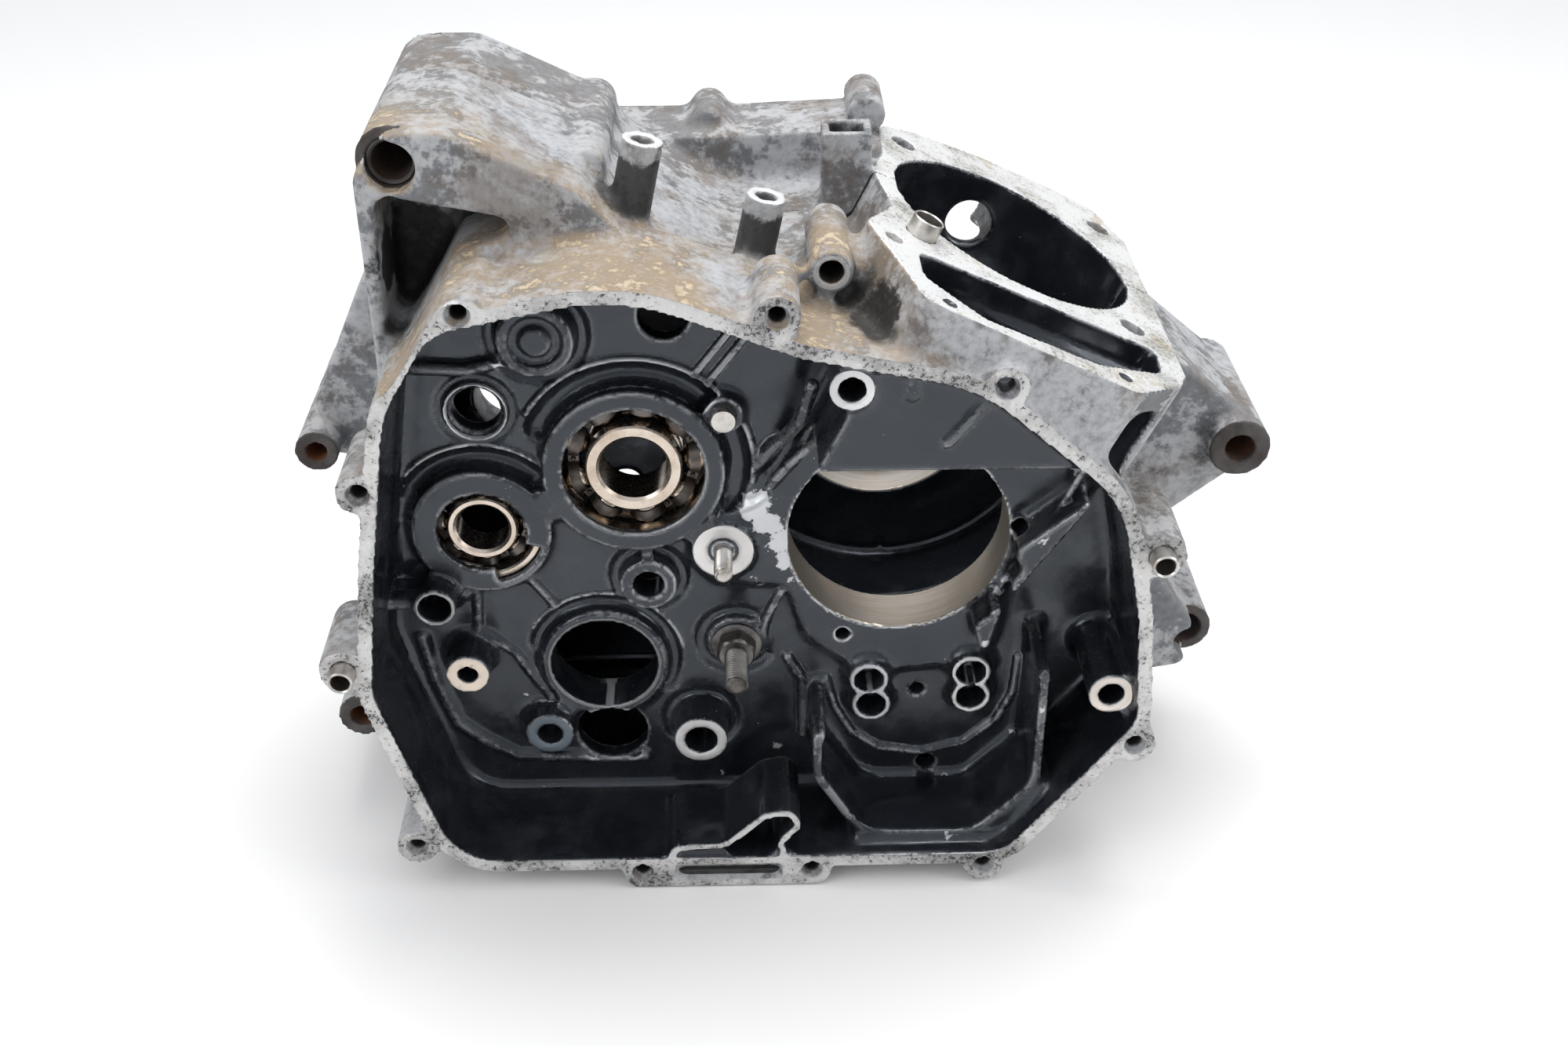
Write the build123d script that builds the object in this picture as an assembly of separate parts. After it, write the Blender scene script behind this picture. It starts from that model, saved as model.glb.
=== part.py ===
from build123d import *
import os
from math import cos, pi, radians, sin, tan

os.makedirs("parts", exist_ok=True)

# Crankcase of a single-cylinder engine: two castings bolted together across the crank axis.
# X points to the front of the engine, Y along the crank axis away from the clutch cover, Z up.
# The origin is the centre of the crank bearing seat, at the outer face of its wall.

# Widths along the crank axis
cavity_depth = 36.0          # clutch cover joint face to the face of the shaft seats
half_width = 56.0            # face of the shaft seats to the parting plane
chamber_far = 30.0           # parting plane to the flywheel-side wall
far_wall = 8.0
generator_depth = 24.0       # flywheel-side wall to its cover joint face
web_y = 2.5                  # the cavity's back wall lies this far behind the seat faces
shaft_wall = 7.0
flange_wall = 5.0            # width of the cover joint face between its bosses
shell_wall = 6.0

# Crank, cylinder and shafts
crank_seat_d = 72.0
far_seat_d = 70.0            # the flywheel-side seat, 1 mm smaller in radius
crank_seat_length = 19.0     # both crank seats are empty, as in the photo
crank_chamber_r = 63.0
chamber_wall = 5.0
deck_lean = 25.5             # degrees from upright, towards the front
deck_height = 90.3           # crank axis to the cylinder joint face
deck_block_depth = 48.0
beyond = 300.0               # reach of the cuts that pass all of the case
spigot_d = 86.0              # hole in the deck for the cylinder skirt
spigot_depth = 46.0
main_xz = (-84.6, 26.6)      # shaft of the large bearing, which carries the clutch
output_xz = (-134.1, 5.1)    # shaft of the small bearing, which drives the chain
drum_xz = (-97.7, -49.3)
drum_bore_d = 36.0
drum_boss_r = 21.5
drum_boss_back = 16.0

# Ball bearings: bore, outer diameter, width, count of balls, and the wall of each ring at its groove
main_bearing = dict(bore=22.0, od=56.0, width=16.0, balls=9, wall=3.67)
output_bearing = dict(bore=17.0, od=40.0, width=12.0, balls=8, wall=2.295)
ball_gap = 0.08              # running clearance of a ball to its races and cage
cage_share = 0.28            # half the cage's thickness, as a share of a ball's radius
cage_edge = 1.0              # how far the cage reaches past its balls
race_sides = 32              # flats of the outer race, which stay clear of the balls
corner_reach = 1.16          # a ball is cut from 18 flats, and this is its corners' reach over theirs
lip = 3.0                    # casting lip in front of each pressed-in bearing
lip_run = 4.0                # how far the lip's hole is cut past the lip
seat_run = 30.0              # how far a seat's bore runs on past its bearing, into the gear room
seat_back = 1.0              # the wall around a seat ends this far behind its bearing
lip_overlap = 5.5            # how far the lip covers the outer ring
seat_wall = 5.0

# Clutch cover joint: corners of the cavity with their radii, then its bolts and dowels
cavity_corners = [
    (-137, 92, 16), (-84, 103, 60), (-33, 83, 24), (18, 72.5, 50), (63, 34, 40),
    (72, -8, 60), (76, -50, 14), (36, -105, 14), (-148, -105, 20), (-168, -34, 22),
    (-162, 12, 40), (-153, 66, 40),
]
cover_bolts = [
    (-128.8, 98.0), (-40.0, 96.1), (26.0, 73.2), (-163.5, 40.2), (-160.9, -98.0),
    (-86.0, -111.4), (-28.6, -111.4), (29.8, -110.6), (76.5, -59.2),
]
cover_dowels = [(-176.0, -24.5), (77.0, 14.5)]
cover_boss_r = 6.9
cover_dowel_boss_r = 8.0
cover_boss_length = 30.0
cover_tap_d = 5.0
cover_tap_depth = 16.0
cover_mouth_d = 7.2
cover_mouth_depth = 2.5
cover_dowel_od = 8.0
cover_dowel_bore = 6.0
cover_dowel_seat = 8.0
cover_dowel_length = 14.0
base_z = -118.3              # the flat underside that the case stands on

# Outline of both castings behind the cavity, and the room for the gears inside it
body_corners = [
    (-161, 124, 5), (-150, 137.6, 10.6), (-134, 137.6, 8), (-97, 120, 10), (-84, 106, 14),
    (-53, 89, 30), (-28, 90, 20), (0, 84, 20), (62, 54, 24), (77, 6, 40), (77, -58, 24),
    (40, -118.3, 24), (-150, -118.3, 20), (-173, -60, 30), (-169, 0, 50), (-161, 60, 60),
]
gear_room_corners = [
    (-130, 92, 14), (-86, 97, 20), (-54, 82, 30), (-20, 80, 8), (0, 0, 4), (62, -44, 8),
    (32, -112, 20), (-146, -112, 20), (-162, -40, 30), (-156, 30, 60), (-147, 72, 20),
]
pocket_corners = [(-156.5, 119, 5), (-106.5, 109, 4), (-134, 100.5, 6), (-149, 77, 8), (-156.5, 70, 2)]
pocket_floor_y = 34.0

# Mounting lugs: centre, outer radius, hole, wall of its steel bush, and its reach along Y
rear_upper_lug = dict(x=-150.0, z=127.0, r=10.6, hole=12.0, bush=1.6, front=6.0, back=92.0)
rear_lower_lug = dict(x=-186.0, z=28.0, r=7.0, hole=6.8, bush=0.0, front=11.0, back=77.0)
rear_foot_lug = dict(x=-186.0, z=-83.0, r=8.5, hole=8.6, bush=0.0, front=16.0, back=80.0)
front_upper_lug = dict(x=113.0, z=20.6, r=10.2, hole=10.0, bush=0.0, front=18.0, back=79.0)
front_lower_lug = dict(x=108.0, z=-63.0, r=9.5, hole=12.0, bush=0.0, front=34.0, back=72.0)
web_front = 24.0
web_back = 74.0
web_corners = [
    [(-191, 31, 3), (-163, 92, 6), (-150, 60, 6), (-150, 8, 6), (-187, 21.5, 4)],
    [(-192, -78, 4), (-166, -36, 10), (-150, -60, 6), (-146, -112, 6), (-186, -91, 6)],
    [(115, 30, 6), (84, 56, 6), (60, 50, 6), (62, 0, 6), (86, -14, 14), (116, 11, 6)],
    [(108, -54, 6), (84, -22, 10), (60, -20, 6), (60, -80, 6), (108, -72, 6)],
]

# Bolts and dowels between the castings
case_bolt_places = [
    (-97.0, 115.5), (-166.0, 62.0), (-172.0, -28.0), (-151.0, -107.0), (-60.0, -111.0),
    (40.0, -108.0), (82.0, -32.0),
]
case_boss_r = 6.8
case_boss_front = 26.0
case_boss_back = 94.0
case_bolt_d = 6.0
case_bolt_head_af = 8.0
case_bolt_head = 5.0
case_bolt_tip_y = 38.0
case_bolt_seat_y = 94.0
case_dowel_places = [(-147.0, 106.0), (54.0, -88.0)]
case_dowel_d = 8.0
case_dowel_length = 16.0

# Roof of the gear room: two leaning threaded bosses and one bolt boss
roof_boss_y = 16.0
roof_boss_lean = 12.0
roof_boss_r = 6.3
roof_boss_hole_d = 7.0
roof_hole_depth = 20.0
roof_boss_foot = 14.0        # how far a boss reaches down into the roof
roof_bosses = [(-83.5, 104.0, 26.0), (-46.5, 90.0, 22.0)]
roof_bolt_along = -62.97    # along the deck's slope, beside the end wall that carries its boss
roof_bolt_drop = 12.866      # below the deck
roof_bolt_boss_r = 6.9
roof_bolt_hole_r = 3.6
roof_bolt_front = -8.0
roof_bolt_back = 30.0
roof_bolt_hole_end = 16.0

# Cylinder deck, in its own plane: along the slope, then along Y from the parting plane
deck_corners = [
    (-57, -46, 7), (-47, -70, 8), (-41, -87, 7), (14, -88.5, 30), (29, -88.5, 7), (48, -70, 7),
    (52, -60, 10), (52, 42, 9), (43, 62, 9), (26, 64.5, 12), (-4, 63.5, 20), (-31, 57, 14),
    (-45, 48, 8), (-46, 22, 14), (-51, -2, 12), (-46, -24, 14),
]
chain_slot_corners = [
    (-39.7, -52.9, 4), (43.7, -49.1, 3), (41.8, -65.8, 8), (17, -79.5, 8), (-21, -82, 8),
    (-39.7, -70, 6),
]
chain_slot_depth = 9.0
deck_stud_places = [(-36.3, 40.2), (41.7, 44.4), (37.7, -37.9), (-37.4, -37.9)]
deck_stud_hole_d = 8.6
deck_stud_depth = 30.0
deck_screw_places = [(-32.4, -81.5), (26.2, -80.1)]
deck_screw_hole_d = 5.0
deck_screw_depth = 16.0
oil_feed_place = (-47.6, -50.1)
oil_feed_d = 6.0
cylinder_dowel_od = 10.0
cylinder_dowel_bore = 8.6
cylinder_dowel_seat = 8.0
cylinder_dowel_length = 13.5

# Chain tunnel between the cavity and the deck
tunnel_front = -27.0
tunnel_back = 3.0
tunnel_wall = 4.0
tunnel_left = -39.7
tunnel_right = 43.5
tunnel_end_wall = 4.5
tunnel_sill_z = 42.5
tunnel_depth = 62.0
tunnel_run = 20.0            # how far its walls run on below its room

# Studs and the hexagon bolt on the back wall
idle_stud_xz = (-56.9, -3.1)
idle_stud_d = 6.0
idle_stud_tip_y = -17.5
stopper_xz = (-53.2, -42.0)
stopper_d = 8.0
stopper_tip_y = -24.0
stopper_nut_af = 12.0
stopper_nut_flange_d = 17.0
stopper_nut_flange = 1.5
stopper_nut_height = 7.0
inner_bolt_clear = 0.6       # its centre is this far to the front of the main bearing's seat
inner_bolt_rise = 19.1
inner_bolt_xz = (main_xz[0] + main_bearing["od"] / 2 + inner_bolt_clear, main_xz[1] + inner_bolt_rise)
inner_bolt_af = 8.0
inner_bolt_head = 3.5
inner_bolt_d = 5.0
stud_end_y = 9.0

# Bosses on the cavity's back wall: x, z, outer radius, hole radius, face, hole depth
wall_bosses = [
    (-112.2, 72.7, 12.0, 0.0, -3.0, 0.0),
    (*idle_stud_xz, 10.4, 0.0, -3.0, 0.0),
    (-81.5, -16.0, 9.5, 5.2, -3.0, 14.0),
    (-150.2, -17.8, 7.0, 5.4, -12.0, 26.0),
    (-142.0, -44.6, 7.4, 3.3, -12.0, 24.0),
    (-117.4, -75.0, 8.4, 4.3, -6.0, 20.0),
    (-65.7, -75.5, 9.3, 5.6, -10.0, 20.0),
    (*stopper_xz, 9.6, 0.0, 0.0, 0.0),
    (-8.4, -55.5, 7.0, 5.0, -4.0, 12.0),
    (-7.4, -66.0, 7.0, 5.0, -4.0, 12.0),
    (26.2, -53.0, 7.0, 5.0, -4.0, 12.0),
    (26.6, -63.2, 7.0, 5.0, -4.0, 12.0),
    (68.2, -43.0, 7.6, 4.3, -30.0, 20.0),
    (-18.4, 71.5, 6.9, 4.1, -33.0, 24.0),
    (*inner_bolt_xz, 6.5, 0.0, -1.0, 0.0),
]
hole_start = -5.0            # in front of every lip and boss that a plain hole passes
# Holes in that wall: x, z, radius, how far they reach along Y
wall_holes = [
    (-73.6, 78.2, 7.8, 20.0), (-132.7, 47.1, 7.7, 20.0), (-96.7, -80.3, 12.3, 20.0),
    (39.2, 3.4, 2.8, 12.0), (-17.5, -38.8, 2.6, 12.0), (8.7, -64.5, 2.7, 12.0),
    (13.0, -97.0, 3.5, 12.0),
]

# Low ground around the crank seat, and the ribs of the cavity
crank_land_corners = [
    (-26, 48, 4), (64, 48, 4), (63, 20, 4), (36, -20, 6), (33, -44, 8), (22, -52, 10),
    (-10, -55, 20), (-30, -40, 14), (-36, -19, 2), (-60, -17, 4), (-68, -8, 8), (-64, 8, 8),
    (-44, 12, 14),
]
v_rib_corners = [(63.5, 24, 1), (34.5, -19, 3), (28.5, -43, 2), (20, -12, 1)]
v_rib_y = -13.0
v_rib_gap = (19.0, 36.0, -21.0, 10.0)     # x and z of the stretch that has no rib
u_rib_corners = [
    (48.5, -34, 1), (48.5, -84, 16), (28, -105.5, 14), (-12, -105.5, 18), (-28.5, -78, 14), (-28.5, -60, 1),
]
u_rib_y = -28.0
u_rib_gap = (-24.0, 44.5, -80.0, 0.0)
arch_corners = [
    (-80, -113, 1), (-76, -99.5, 6), (-58, -98.5, 6), (-45, -86, 6), (-35, -84.5, 5),
    (-31.5, -92, 4), (-38, -99, 3), (-35, -113, 1),
]
arch_back_y = -6.0
rib_wall = 3.5
arch_wall = 2.4

# Strainer slot in the bottom of the cover joint
sump_pad_x = (-86.0, -28.6)
sump_pad_top = -104.0
strainer_x = (-75.0, -38.5)
strainer_z = (-114.8, -108.6)
strainer_length = 30.0
strainer_plate = 3.0
strainer_recess = 2.0

# Drain plug in the underside of the flywheel-side casting
drain_xy = (-20.0, 72.0)
drain_af = 14.0
drain_d = 12.0
drain_length = 10.0
drain_head = 5.0
drain_pocket_clear = 3.0
drain_pocket_depth = 6.0
drain_boss_height = 20.0

# Flywheel side: room for the generator and the cover joint around it
generator_corners = [
    (-106, 98, 14), (-60, 98, 40), (-14, 100, 10), (0, 82, 16), (50, 50, 40), (66, 0, 50),
    (58, -56, 30), (16, -96, 30), (-56, -100, 30), (-104, -40, 40), (-112, 40, 60),
]
generator_bolts = [
    (-110.0, 103.0), (-60.0, 104.0), (-7.0, 108.0), (60.0, 47.0), (69.0, -20.0),
    (40.0, -84.0), (-22.0, -105.0), (-86.0, -86.0), (-116.0, 0.0),
]
generator_boss_r = 6.4
sprocket_bore_d = 26.0
sprocket_boss_length = 8.0
far_boss_r = 41.0
far_holes = [(30.0, 66.5, 8.0), (1.5, -58.5, 2.5), (-93.6, -31.0, 6.0)]
breather = dict(x=-15.5, width=16.0, depth=14.0, wall=2.6, front=57.5, top=115.0, foot=80.0, mouth=14.0)
skirt_foot = 6.0             # how far the wall around the cylinder's skirt reaches below it
skirt_back = 10.0            # and how far it stays from the far cover joint

cover_y = -cavity_depth
parting_y = half_width
far_wall_y = parting_y + chamber_far
generator_y = far_wall_y + far_wall
far_cover_y = generator_y + generator_depth

lean = radians(deck_lean)
deck = Plane(
    origin=(deck_height * sin(lean), parting_y, deck_height * cos(lean)),
    x_dir=(cos(lean), 0, -sin(lean)),
    z_dir=(sin(lean), 0, cos(lean)),
)
roof_bolt_place = deck.from_local_coords(Vector(roof_bolt_along, 0, -roof_bolt_drop))
roof_bolt_xz = (roof_bolt_place.X, roof_bolt_place.Z)


def prism(sketch, y0, y1):
    """A solid with the X-Z outline of the sketch, between two planes across Y."""
    plane = Plane(origin=(0, y1, 0), x_dir=(1, 0, 0), z_dir=(0, -1, 0))
    return extrude(plane * sketch, amount=y1 - y0)


def down(sketch, depth, start=0.0):
    """A solid along the cylinder axis, from start to depth below the deck."""
    return extrude(deck.offset(-start) * sketch, amount=start - depth)


def post(x, z, r, y0, y1):
    """A round boss or hole along Y."""
    return Pos(x, (y0 + y1) / 2, z) * Rot(90, 0, 0) * Cylinder(r, y1 - y0)


def disc(r):
    """A round outline with flats too fine to see, which keeps the castings' meshes light."""
    return RegularPolygon(r, 10 if r < 3.2 else 12 if r < 5.5 else 16 if r < 15 else 32)


def stub(x, z, r, y0, y1):
    """A round boss or hole along Y with flats, for all that no shaft or bolt is fitted to."""
    return prism(Pos(x, z) * disc(r), y0, y1)


def box(x0, x1, y0, y1, z0, z1):
    """A box between two corners."""
    return Pos((x0 + x1) / 2, (y0 + y1) / 2, (z0 + z1) / 2) * Box(x1 - x0, y1 - y0, z1 - z0)


def rounded(corners):
    """A closed outline through corners, each rounded by its radius as far as its sides allow."""
    points = [Vector(x, z) for x, z, r in corners]
    arcs = []
    for i, (x, z, r) in enumerate(corners):
        back = points[i - 1] - points[i]
        ahead = points[(i + 1) % len(points)] - points[i]
        half = radians(back.get_angle(ahead)) / 2
        reach = min(r / tan(half), 0.48 * back.length, 0.48 * ahead.length)
        radius = reach * tan(half)
        inward = (back.normalized() + ahead.normalized()).normalized()
        arcs.append((
            points[i] + back.normalized() * reach,
            points[i] + inward * radius * (1 / sin(half) - 1),
            points[i] + ahead.normalized() * reach,
        ))
    edges = []
    for i, (start, middle, end) in enumerate(arcs):
        edges.append(ThreePointArc(start, middle, end))
        edges.append(Line(end, arcs[(i + 1) % len(arcs)][0]))
    return make_face(edges)


def ring(outline, wall):
    """The outer band of an outline."""
    return outline - offset(outline, -wall)


def bar(x, z, af, y0, y1):
    """A hexagonal bar along Y, given its width across flats."""
    return prism(Pos(x, z) * RegularPolygon(af / 2, 6, major_radius=False), y0, y1)


cavity = rounded(cavity_corners)
body = rounded(body_corners)
gear_room = rounded(gear_room_corners)
deck_face = rounded(deck_corners)
lugs = [rear_upper_lug, rear_lower_lug, rear_foot_lug, front_upper_lug, front_lower_lug]
near_half = Rectangle(beyond, beyond, align=(Align.CENTER, Align.MAX))
far_half = Rectangle(beyond, beyond, align=(Align.CENTER, Align.MIN))


def shared_solids(y0, y1, half):
    """What both castings have: the body, lugs and webs, the bolt bosses and the deck."""
    solids = [prism(body, y0, y1), down(deck_face & half, deck_block_depth)]
    for corners in web_corners:
        solids.append(prism(rounded(corners), max(y0, web_front), min(y1, web_back)))
    for spec in lugs:
        solids.append(stub(spec["x"], spec["z"], spec["r"], max(spec["front"], y0), min(spec["back"], y1)))
    for x, z in case_bolt_places:
        solids.append(stub(x, z, case_boss_r, max(y0, case_boss_front), min(y1, case_boss_back)))
    return solids


def shared_holes(y0, y1):
    """Holes that both castings have: lugs, case dowels, deck studs and the cylinder's skirt."""
    holes = [down(Circle(spigot_d / 2), spigot_depth, -1)]
    for spec in lugs:
        holes.append(stub(spec["x"], spec["z"], spec["hole"] / 2 + spec["bush"], y0 - 1, y1))
    for x, z in case_dowel_places:
        holes.append(stub(x, z, case_dowel_d / 2, parting_y - case_dowel_length / 2,
                          parting_y + case_dowel_length / 2))
    for s, t in deck_stud_places:
        if y0 < parting_y + t < y1:
            holes.append(down(Pos(s, t) * disc(deck_stud_hole_d / 2), deck_stud_depth, -1))
    return holes


def tunnel_solid(wall, end, depth, start):
    """The chain tunnel's room along the cylinder axis, grown by a front wall and two end walls."""
    length = tunnel_right - tunnel_left + 2 * end
    width = tunnel_back - tunnel_front + wall
    outline = Rectangle(length, width, align=(Align.CENTER, Align.MAX))
    middle = (tunnel_left + tunnel_right) / 2
    return down(Pos(middle, tunnel_back - parting_y) * outline, depth, start)


def roof_boss(x, z, height):
    """A leaning threaded boss on the roof, and its hole."""
    place = Pos(x, roof_boss_y, z) * Rot(0, roof_boss_lean, 0)
    boss = place * Pos(0, 0, -roof_boss_foot) * extrude(disc(roof_boss_r), height + roof_boss_foot)
    bore = extrude(disc(roof_boss_hole_d / 2), roof_hole_depth + 1)
    return boss, place * Pos(0, 0, height - roof_hole_depth) * bore


def seat(xz, bearing, y0, toward):
    """The pressed seat of a bearing from y0, and the smaller hole through the lip before it."""
    opening = bearing["od"] / 2 - lip_overlap
    start, end = sorted([y0, y0 + toward * (bearing["width"] + seat_run)])
    lip_start, lip_end = sorted([y0 + toward, y0 - toward * (lip + lip_run)])
    return [stub(*xz, bearing["od"] / 2, start, end), stub(*xz, opening, lip_start, lip_end)]


def clutch_side_case():
    """The casting with the clutch cavity, the chain tunnel and the seats of both gear shafts."""
    wall_back = web_y + shaft_wall
    solids = shared_solids(0, parting_y, near_half)
    solids.append(prism(offset(cavity, flange_wall), cover_y, wall_back))
    solids.append(box(*sump_pad_x, cover_y, wall_back, base_z, sump_pad_top))
    boss_end = cover_y + cover_boss_length
    solids += [stub(x, z, cover_boss_r, cover_y, boss_end) for x, z in cover_bolts]
    solids += [stub(x, z, cover_dowel_boss_r, cover_y, boss_end) for x, z in cover_dowels]
    solids.append(stub(*roof_bolt_xz, roof_bolt_boss_r, roof_bolt_front, roof_bolt_back))
    roof = [roof_boss(*place) for place in roof_bosses]
    solids += [boss for boss, hole in roof]
    case = solids[0] + solids[1:]

    # The cavity is open towards the clutch cover; the chain tunnel's front wall stays in it
    tunnel_block = tunnel_solid(tunnel_wall, tunnel_end_wall, tunnel_depth + tunnel_run, 0)
    tunnel_block = tunnel_block & box(-beyond, beyond, -beyond, beyond, tunnel_sill_z, beyond)
    case = case - (prism(cavity, cover_y - 1, web_y) - tunnel_block)
    room = prism(gear_room, wall_back, parting_y + 1) - [
        stub(0, 0, crank_chamber_r + chamber_wall, 0, parting_y + 2),
        stub(*main_xz, main_bearing["od"] / 2 + seat_wall, 0, main_bearing["width"] + seat_back),
        stub(*output_xz, output_bearing["od"] / 2 + seat_wall, 0, output_bearing["width"] + seat_back),
        stub(*drum_xz, drum_boss_r, 0, drum_boss_back),
    ]
    case = case - [
        room,
        tunnel_solid(0, 0, tunnel_depth, chain_slot_depth),
        down(rounded(chain_slot_corners), chain_slot_depth + 1, -1),
        prism(rounded(pocket_corners), cover_y - 10, pocket_floor_y),
    ]

    # What stands on the cavity's back wall
    v_x0, v_x1, v_z0, v_z1 = v_rib_gap
    u_x0, u_x1, u_z0, u_z1 = u_rib_gap
    stands = [
        stub(*main_xz, main_bearing["od"] / 2 + 1, -lip, web_y + 1),
        stub(*output_xz, output_bearing["od"] / 2 + 2.5, -lip, web_y + 1),
        stub(*drum_xz, drum_boss_r, -1, web_y + 1),
        prism(rounded(crank_land_corners), 0, web_y + 1),
        prism(ring(rounded(v_rib_corners), rib_wall), v_rib_y, web_y + 1)
        - box(v_x0, v_x1, cover_y, web_y + 2, v_z0, v_z1) - post(0, 0, crank_seat_d / 2 + 1, v_rib_y - 1, 0),
        prism(ring(rounded(u_rib_corners), rib_wall), u_rib_y, web_y + 1)
        - box(u_x0, u_x1, cover_y, web_y + 2, u_z0, u_z1),
        prism(ring(rounded(arch_corners), arch_wall), cover_y, arch_back_y),
    ]
    stands += [stub(x, z, r, y, web_y + 1) for x, z, r, hole, y, depth in wall_bosses]
    case = case + stands

    holes = [stub(x, z, hole, y - 1, y + depth) for x, z, r, hole, y, depth in wall_bosses if hole]
    holes += [stub(x, z, r, hole_start, end) for x, z, r, end in wall_holes]
    holes += seat(main_xz, main_bearing, 0, 1) + seat(output_xz, output_bearing, 0, 1)
    holes += [
        post(0, 0, crank_seat_d / 2, hole_start, crank_seat_length + 1),
        post(0, 0, crank_chamber_r, crank_seat_length, parting_y + 1),
        stub(*drum_xz, drum_bore_d / 2, hole_start, parting_y),
        stub(*roof_bolt_xz, roof_bolt_hole_r, roof_bolt_front - 1, roof_bolt_hole_end),
        box(*strainer_x, cover_y - 1, cover_y + strainer_length + 3, *strainer_z),
        down(Pos(*oil_feed_place) * disc(oil_feed_d / 2), deck_stud_depth, -1),
        down(Pos(*deck_stud_places[3]) * disc(cylinder_dowel_od / 2), cylinder_dowel_seat, -1),
    ]
    holes += [hole for boss, hole in roof]
    for s, t in deck_screw_places:
        holes.append(down(Pos(s, t) * disc(deck_screw_hole_d / 2), deck_screw_depth, -1))
    for x, z in cover_bolts:
        holes.append(stub(x, z, cover_tap_d / 2, cover_y - 1, cover_y + cover_tap_depth))
        holes.append(stub(x, z, cover_mouth_d / 2, cover_y - 1, cover_y + cover_mouth_depth))
    for x, z in cover_dowels:
        holes.append(stub(x, z, cover_dowel_od / 2, cover_y - 1, cover_y + cover_dowel_seat))
    holes += [
        stub(*idle_stud_xz, idle_stud_d / 2, hole_start, stud_end_y),
        stub(*stopper_xz, stopper_d / 2, hole_start, stud_end_y),
        stub(*inner_bolt_xz, inner_bolt_d / 2, hole_start, stud_end_y),
    ]
    for x, z in case_bolt_places:
        holes.append(stub(x, z, case_bolt_d / 2, case_bolt_tip_y - 2, parting_y + 1))
    case = case - (holes + shared_holes(0, parting_y))
    return case & box(-beyond, beyond, cover_y, parting_y, base_z, beyond)


def flywheel_side_case():
    """The casting with the flywheel-side crank bearing and the generator room."""
    solids = shared_solids(parting_y, generator_y, far_half)
    solids.append(prism(offset(rounded(generator_corners), shell_wall), generator_y - 1, far_cover_y))
    solids += [stub(x, z, generator_boss_r, generator_y - 1, far_cover_y) for x, z in generator_bolts]
    solids.append(prism(offset(rounded(generator_corners), shell_wall), far_wall_y, generator_y))
    solids.append(stub(*output_xz, sprocket_bore_d / 2 + seat_wall, generator_y - 1,
                       generator_y + sprocket_boss_length))
    half_width_x = breather["width"] / 2
    solids.append(box(breather["x"] - half_width_x, breather["x"] + half_width_x, breather["front"],
                      breather["front"] + breather["depth"], breather["foot"], breather["top"]))
    case = solids[0] + solids[1:]
    case = case - prism(rounded(generator_corners), generator_y, far_cover_y + 1)
    seat_end = far_wall_y + crank_seat_length
    skirt_wall = down(Circle(spigot_d / 2 + seat_wall), spigot_depth + skirt_foot)
    skirt_wall = skirt_wall & box(-beyond, beyond, generator_y - 1, far_cover_y - skirt_back, 0, beyond)
    case = case + [stub(0, 0, far_boss_r, generator_y - 1, seat_end + lip), skirt_wall]
    drain_boss_r = drain_d / 2 + seat_wall
    room = prism(gear_room, parting_y - 1, far_wall_y) - stub(
        0, 0, crank_chamber_r + chamber_wall, parting_y - 2, far_wall_y + 1)
    inner = half_width_x - breather["wall"]
    case = case - room
    case = case + Pos(*drain_xy, base_z) * extrude(disc(drain_boss_r), drain_boss_height)
    holes = [
        post(0, 0, crank_chamber_r, parting_y - 1, far_wall_y),
        post(0, 0, far_seat_d / 2, far_wall_y - 1, seat_end),
        post(0, 0, far_seat_d / 2 - lip_overlap, far_wall_y, far_cover_y),
        stub(*output_xz, sprocket_bore_d / 2, far_wall_y - 1, far_cover_y),
        box(breather["x"] - inner, breather["x"] + inner, breather["front"] + breather["wall"],
            breather["front"] + breather["depth"] - breather["wall"],
            breather["top"] - breather["mouth"], breather["top"] + 1),
        Pos(*drain_xy, base_z - 1) * extrude(disc(drain_af / 2 + drain_pocket_clear), drain_pocket_depth + 1),
        Pos(*drain_xy, base_z + 1) * extrude(disc(drain_d / 2), drain_boss_height),
    ]
    holes += [stub(x, z, r, far_wall_y - 1, far_cover_y + 1) for x, z, r in far_holes]
    holes += [stub(x, z, cover_tap_d / 2, far_cover_y - cover_tap_depth, far_cover_y + 1)
              for x, z in generator_bolts]
    holes += [stub(x, z, case_bolt_d / 2, parting_y - 1, case_boss_back + 2) for x, z in case_bolt_places]
    case = case - (holes + shared_holes(parting_y, far_cover_y + 10))
    return case & box(-beyond, beyond, parting_y, far_cover_y + 10, base_z, beyond)


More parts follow.
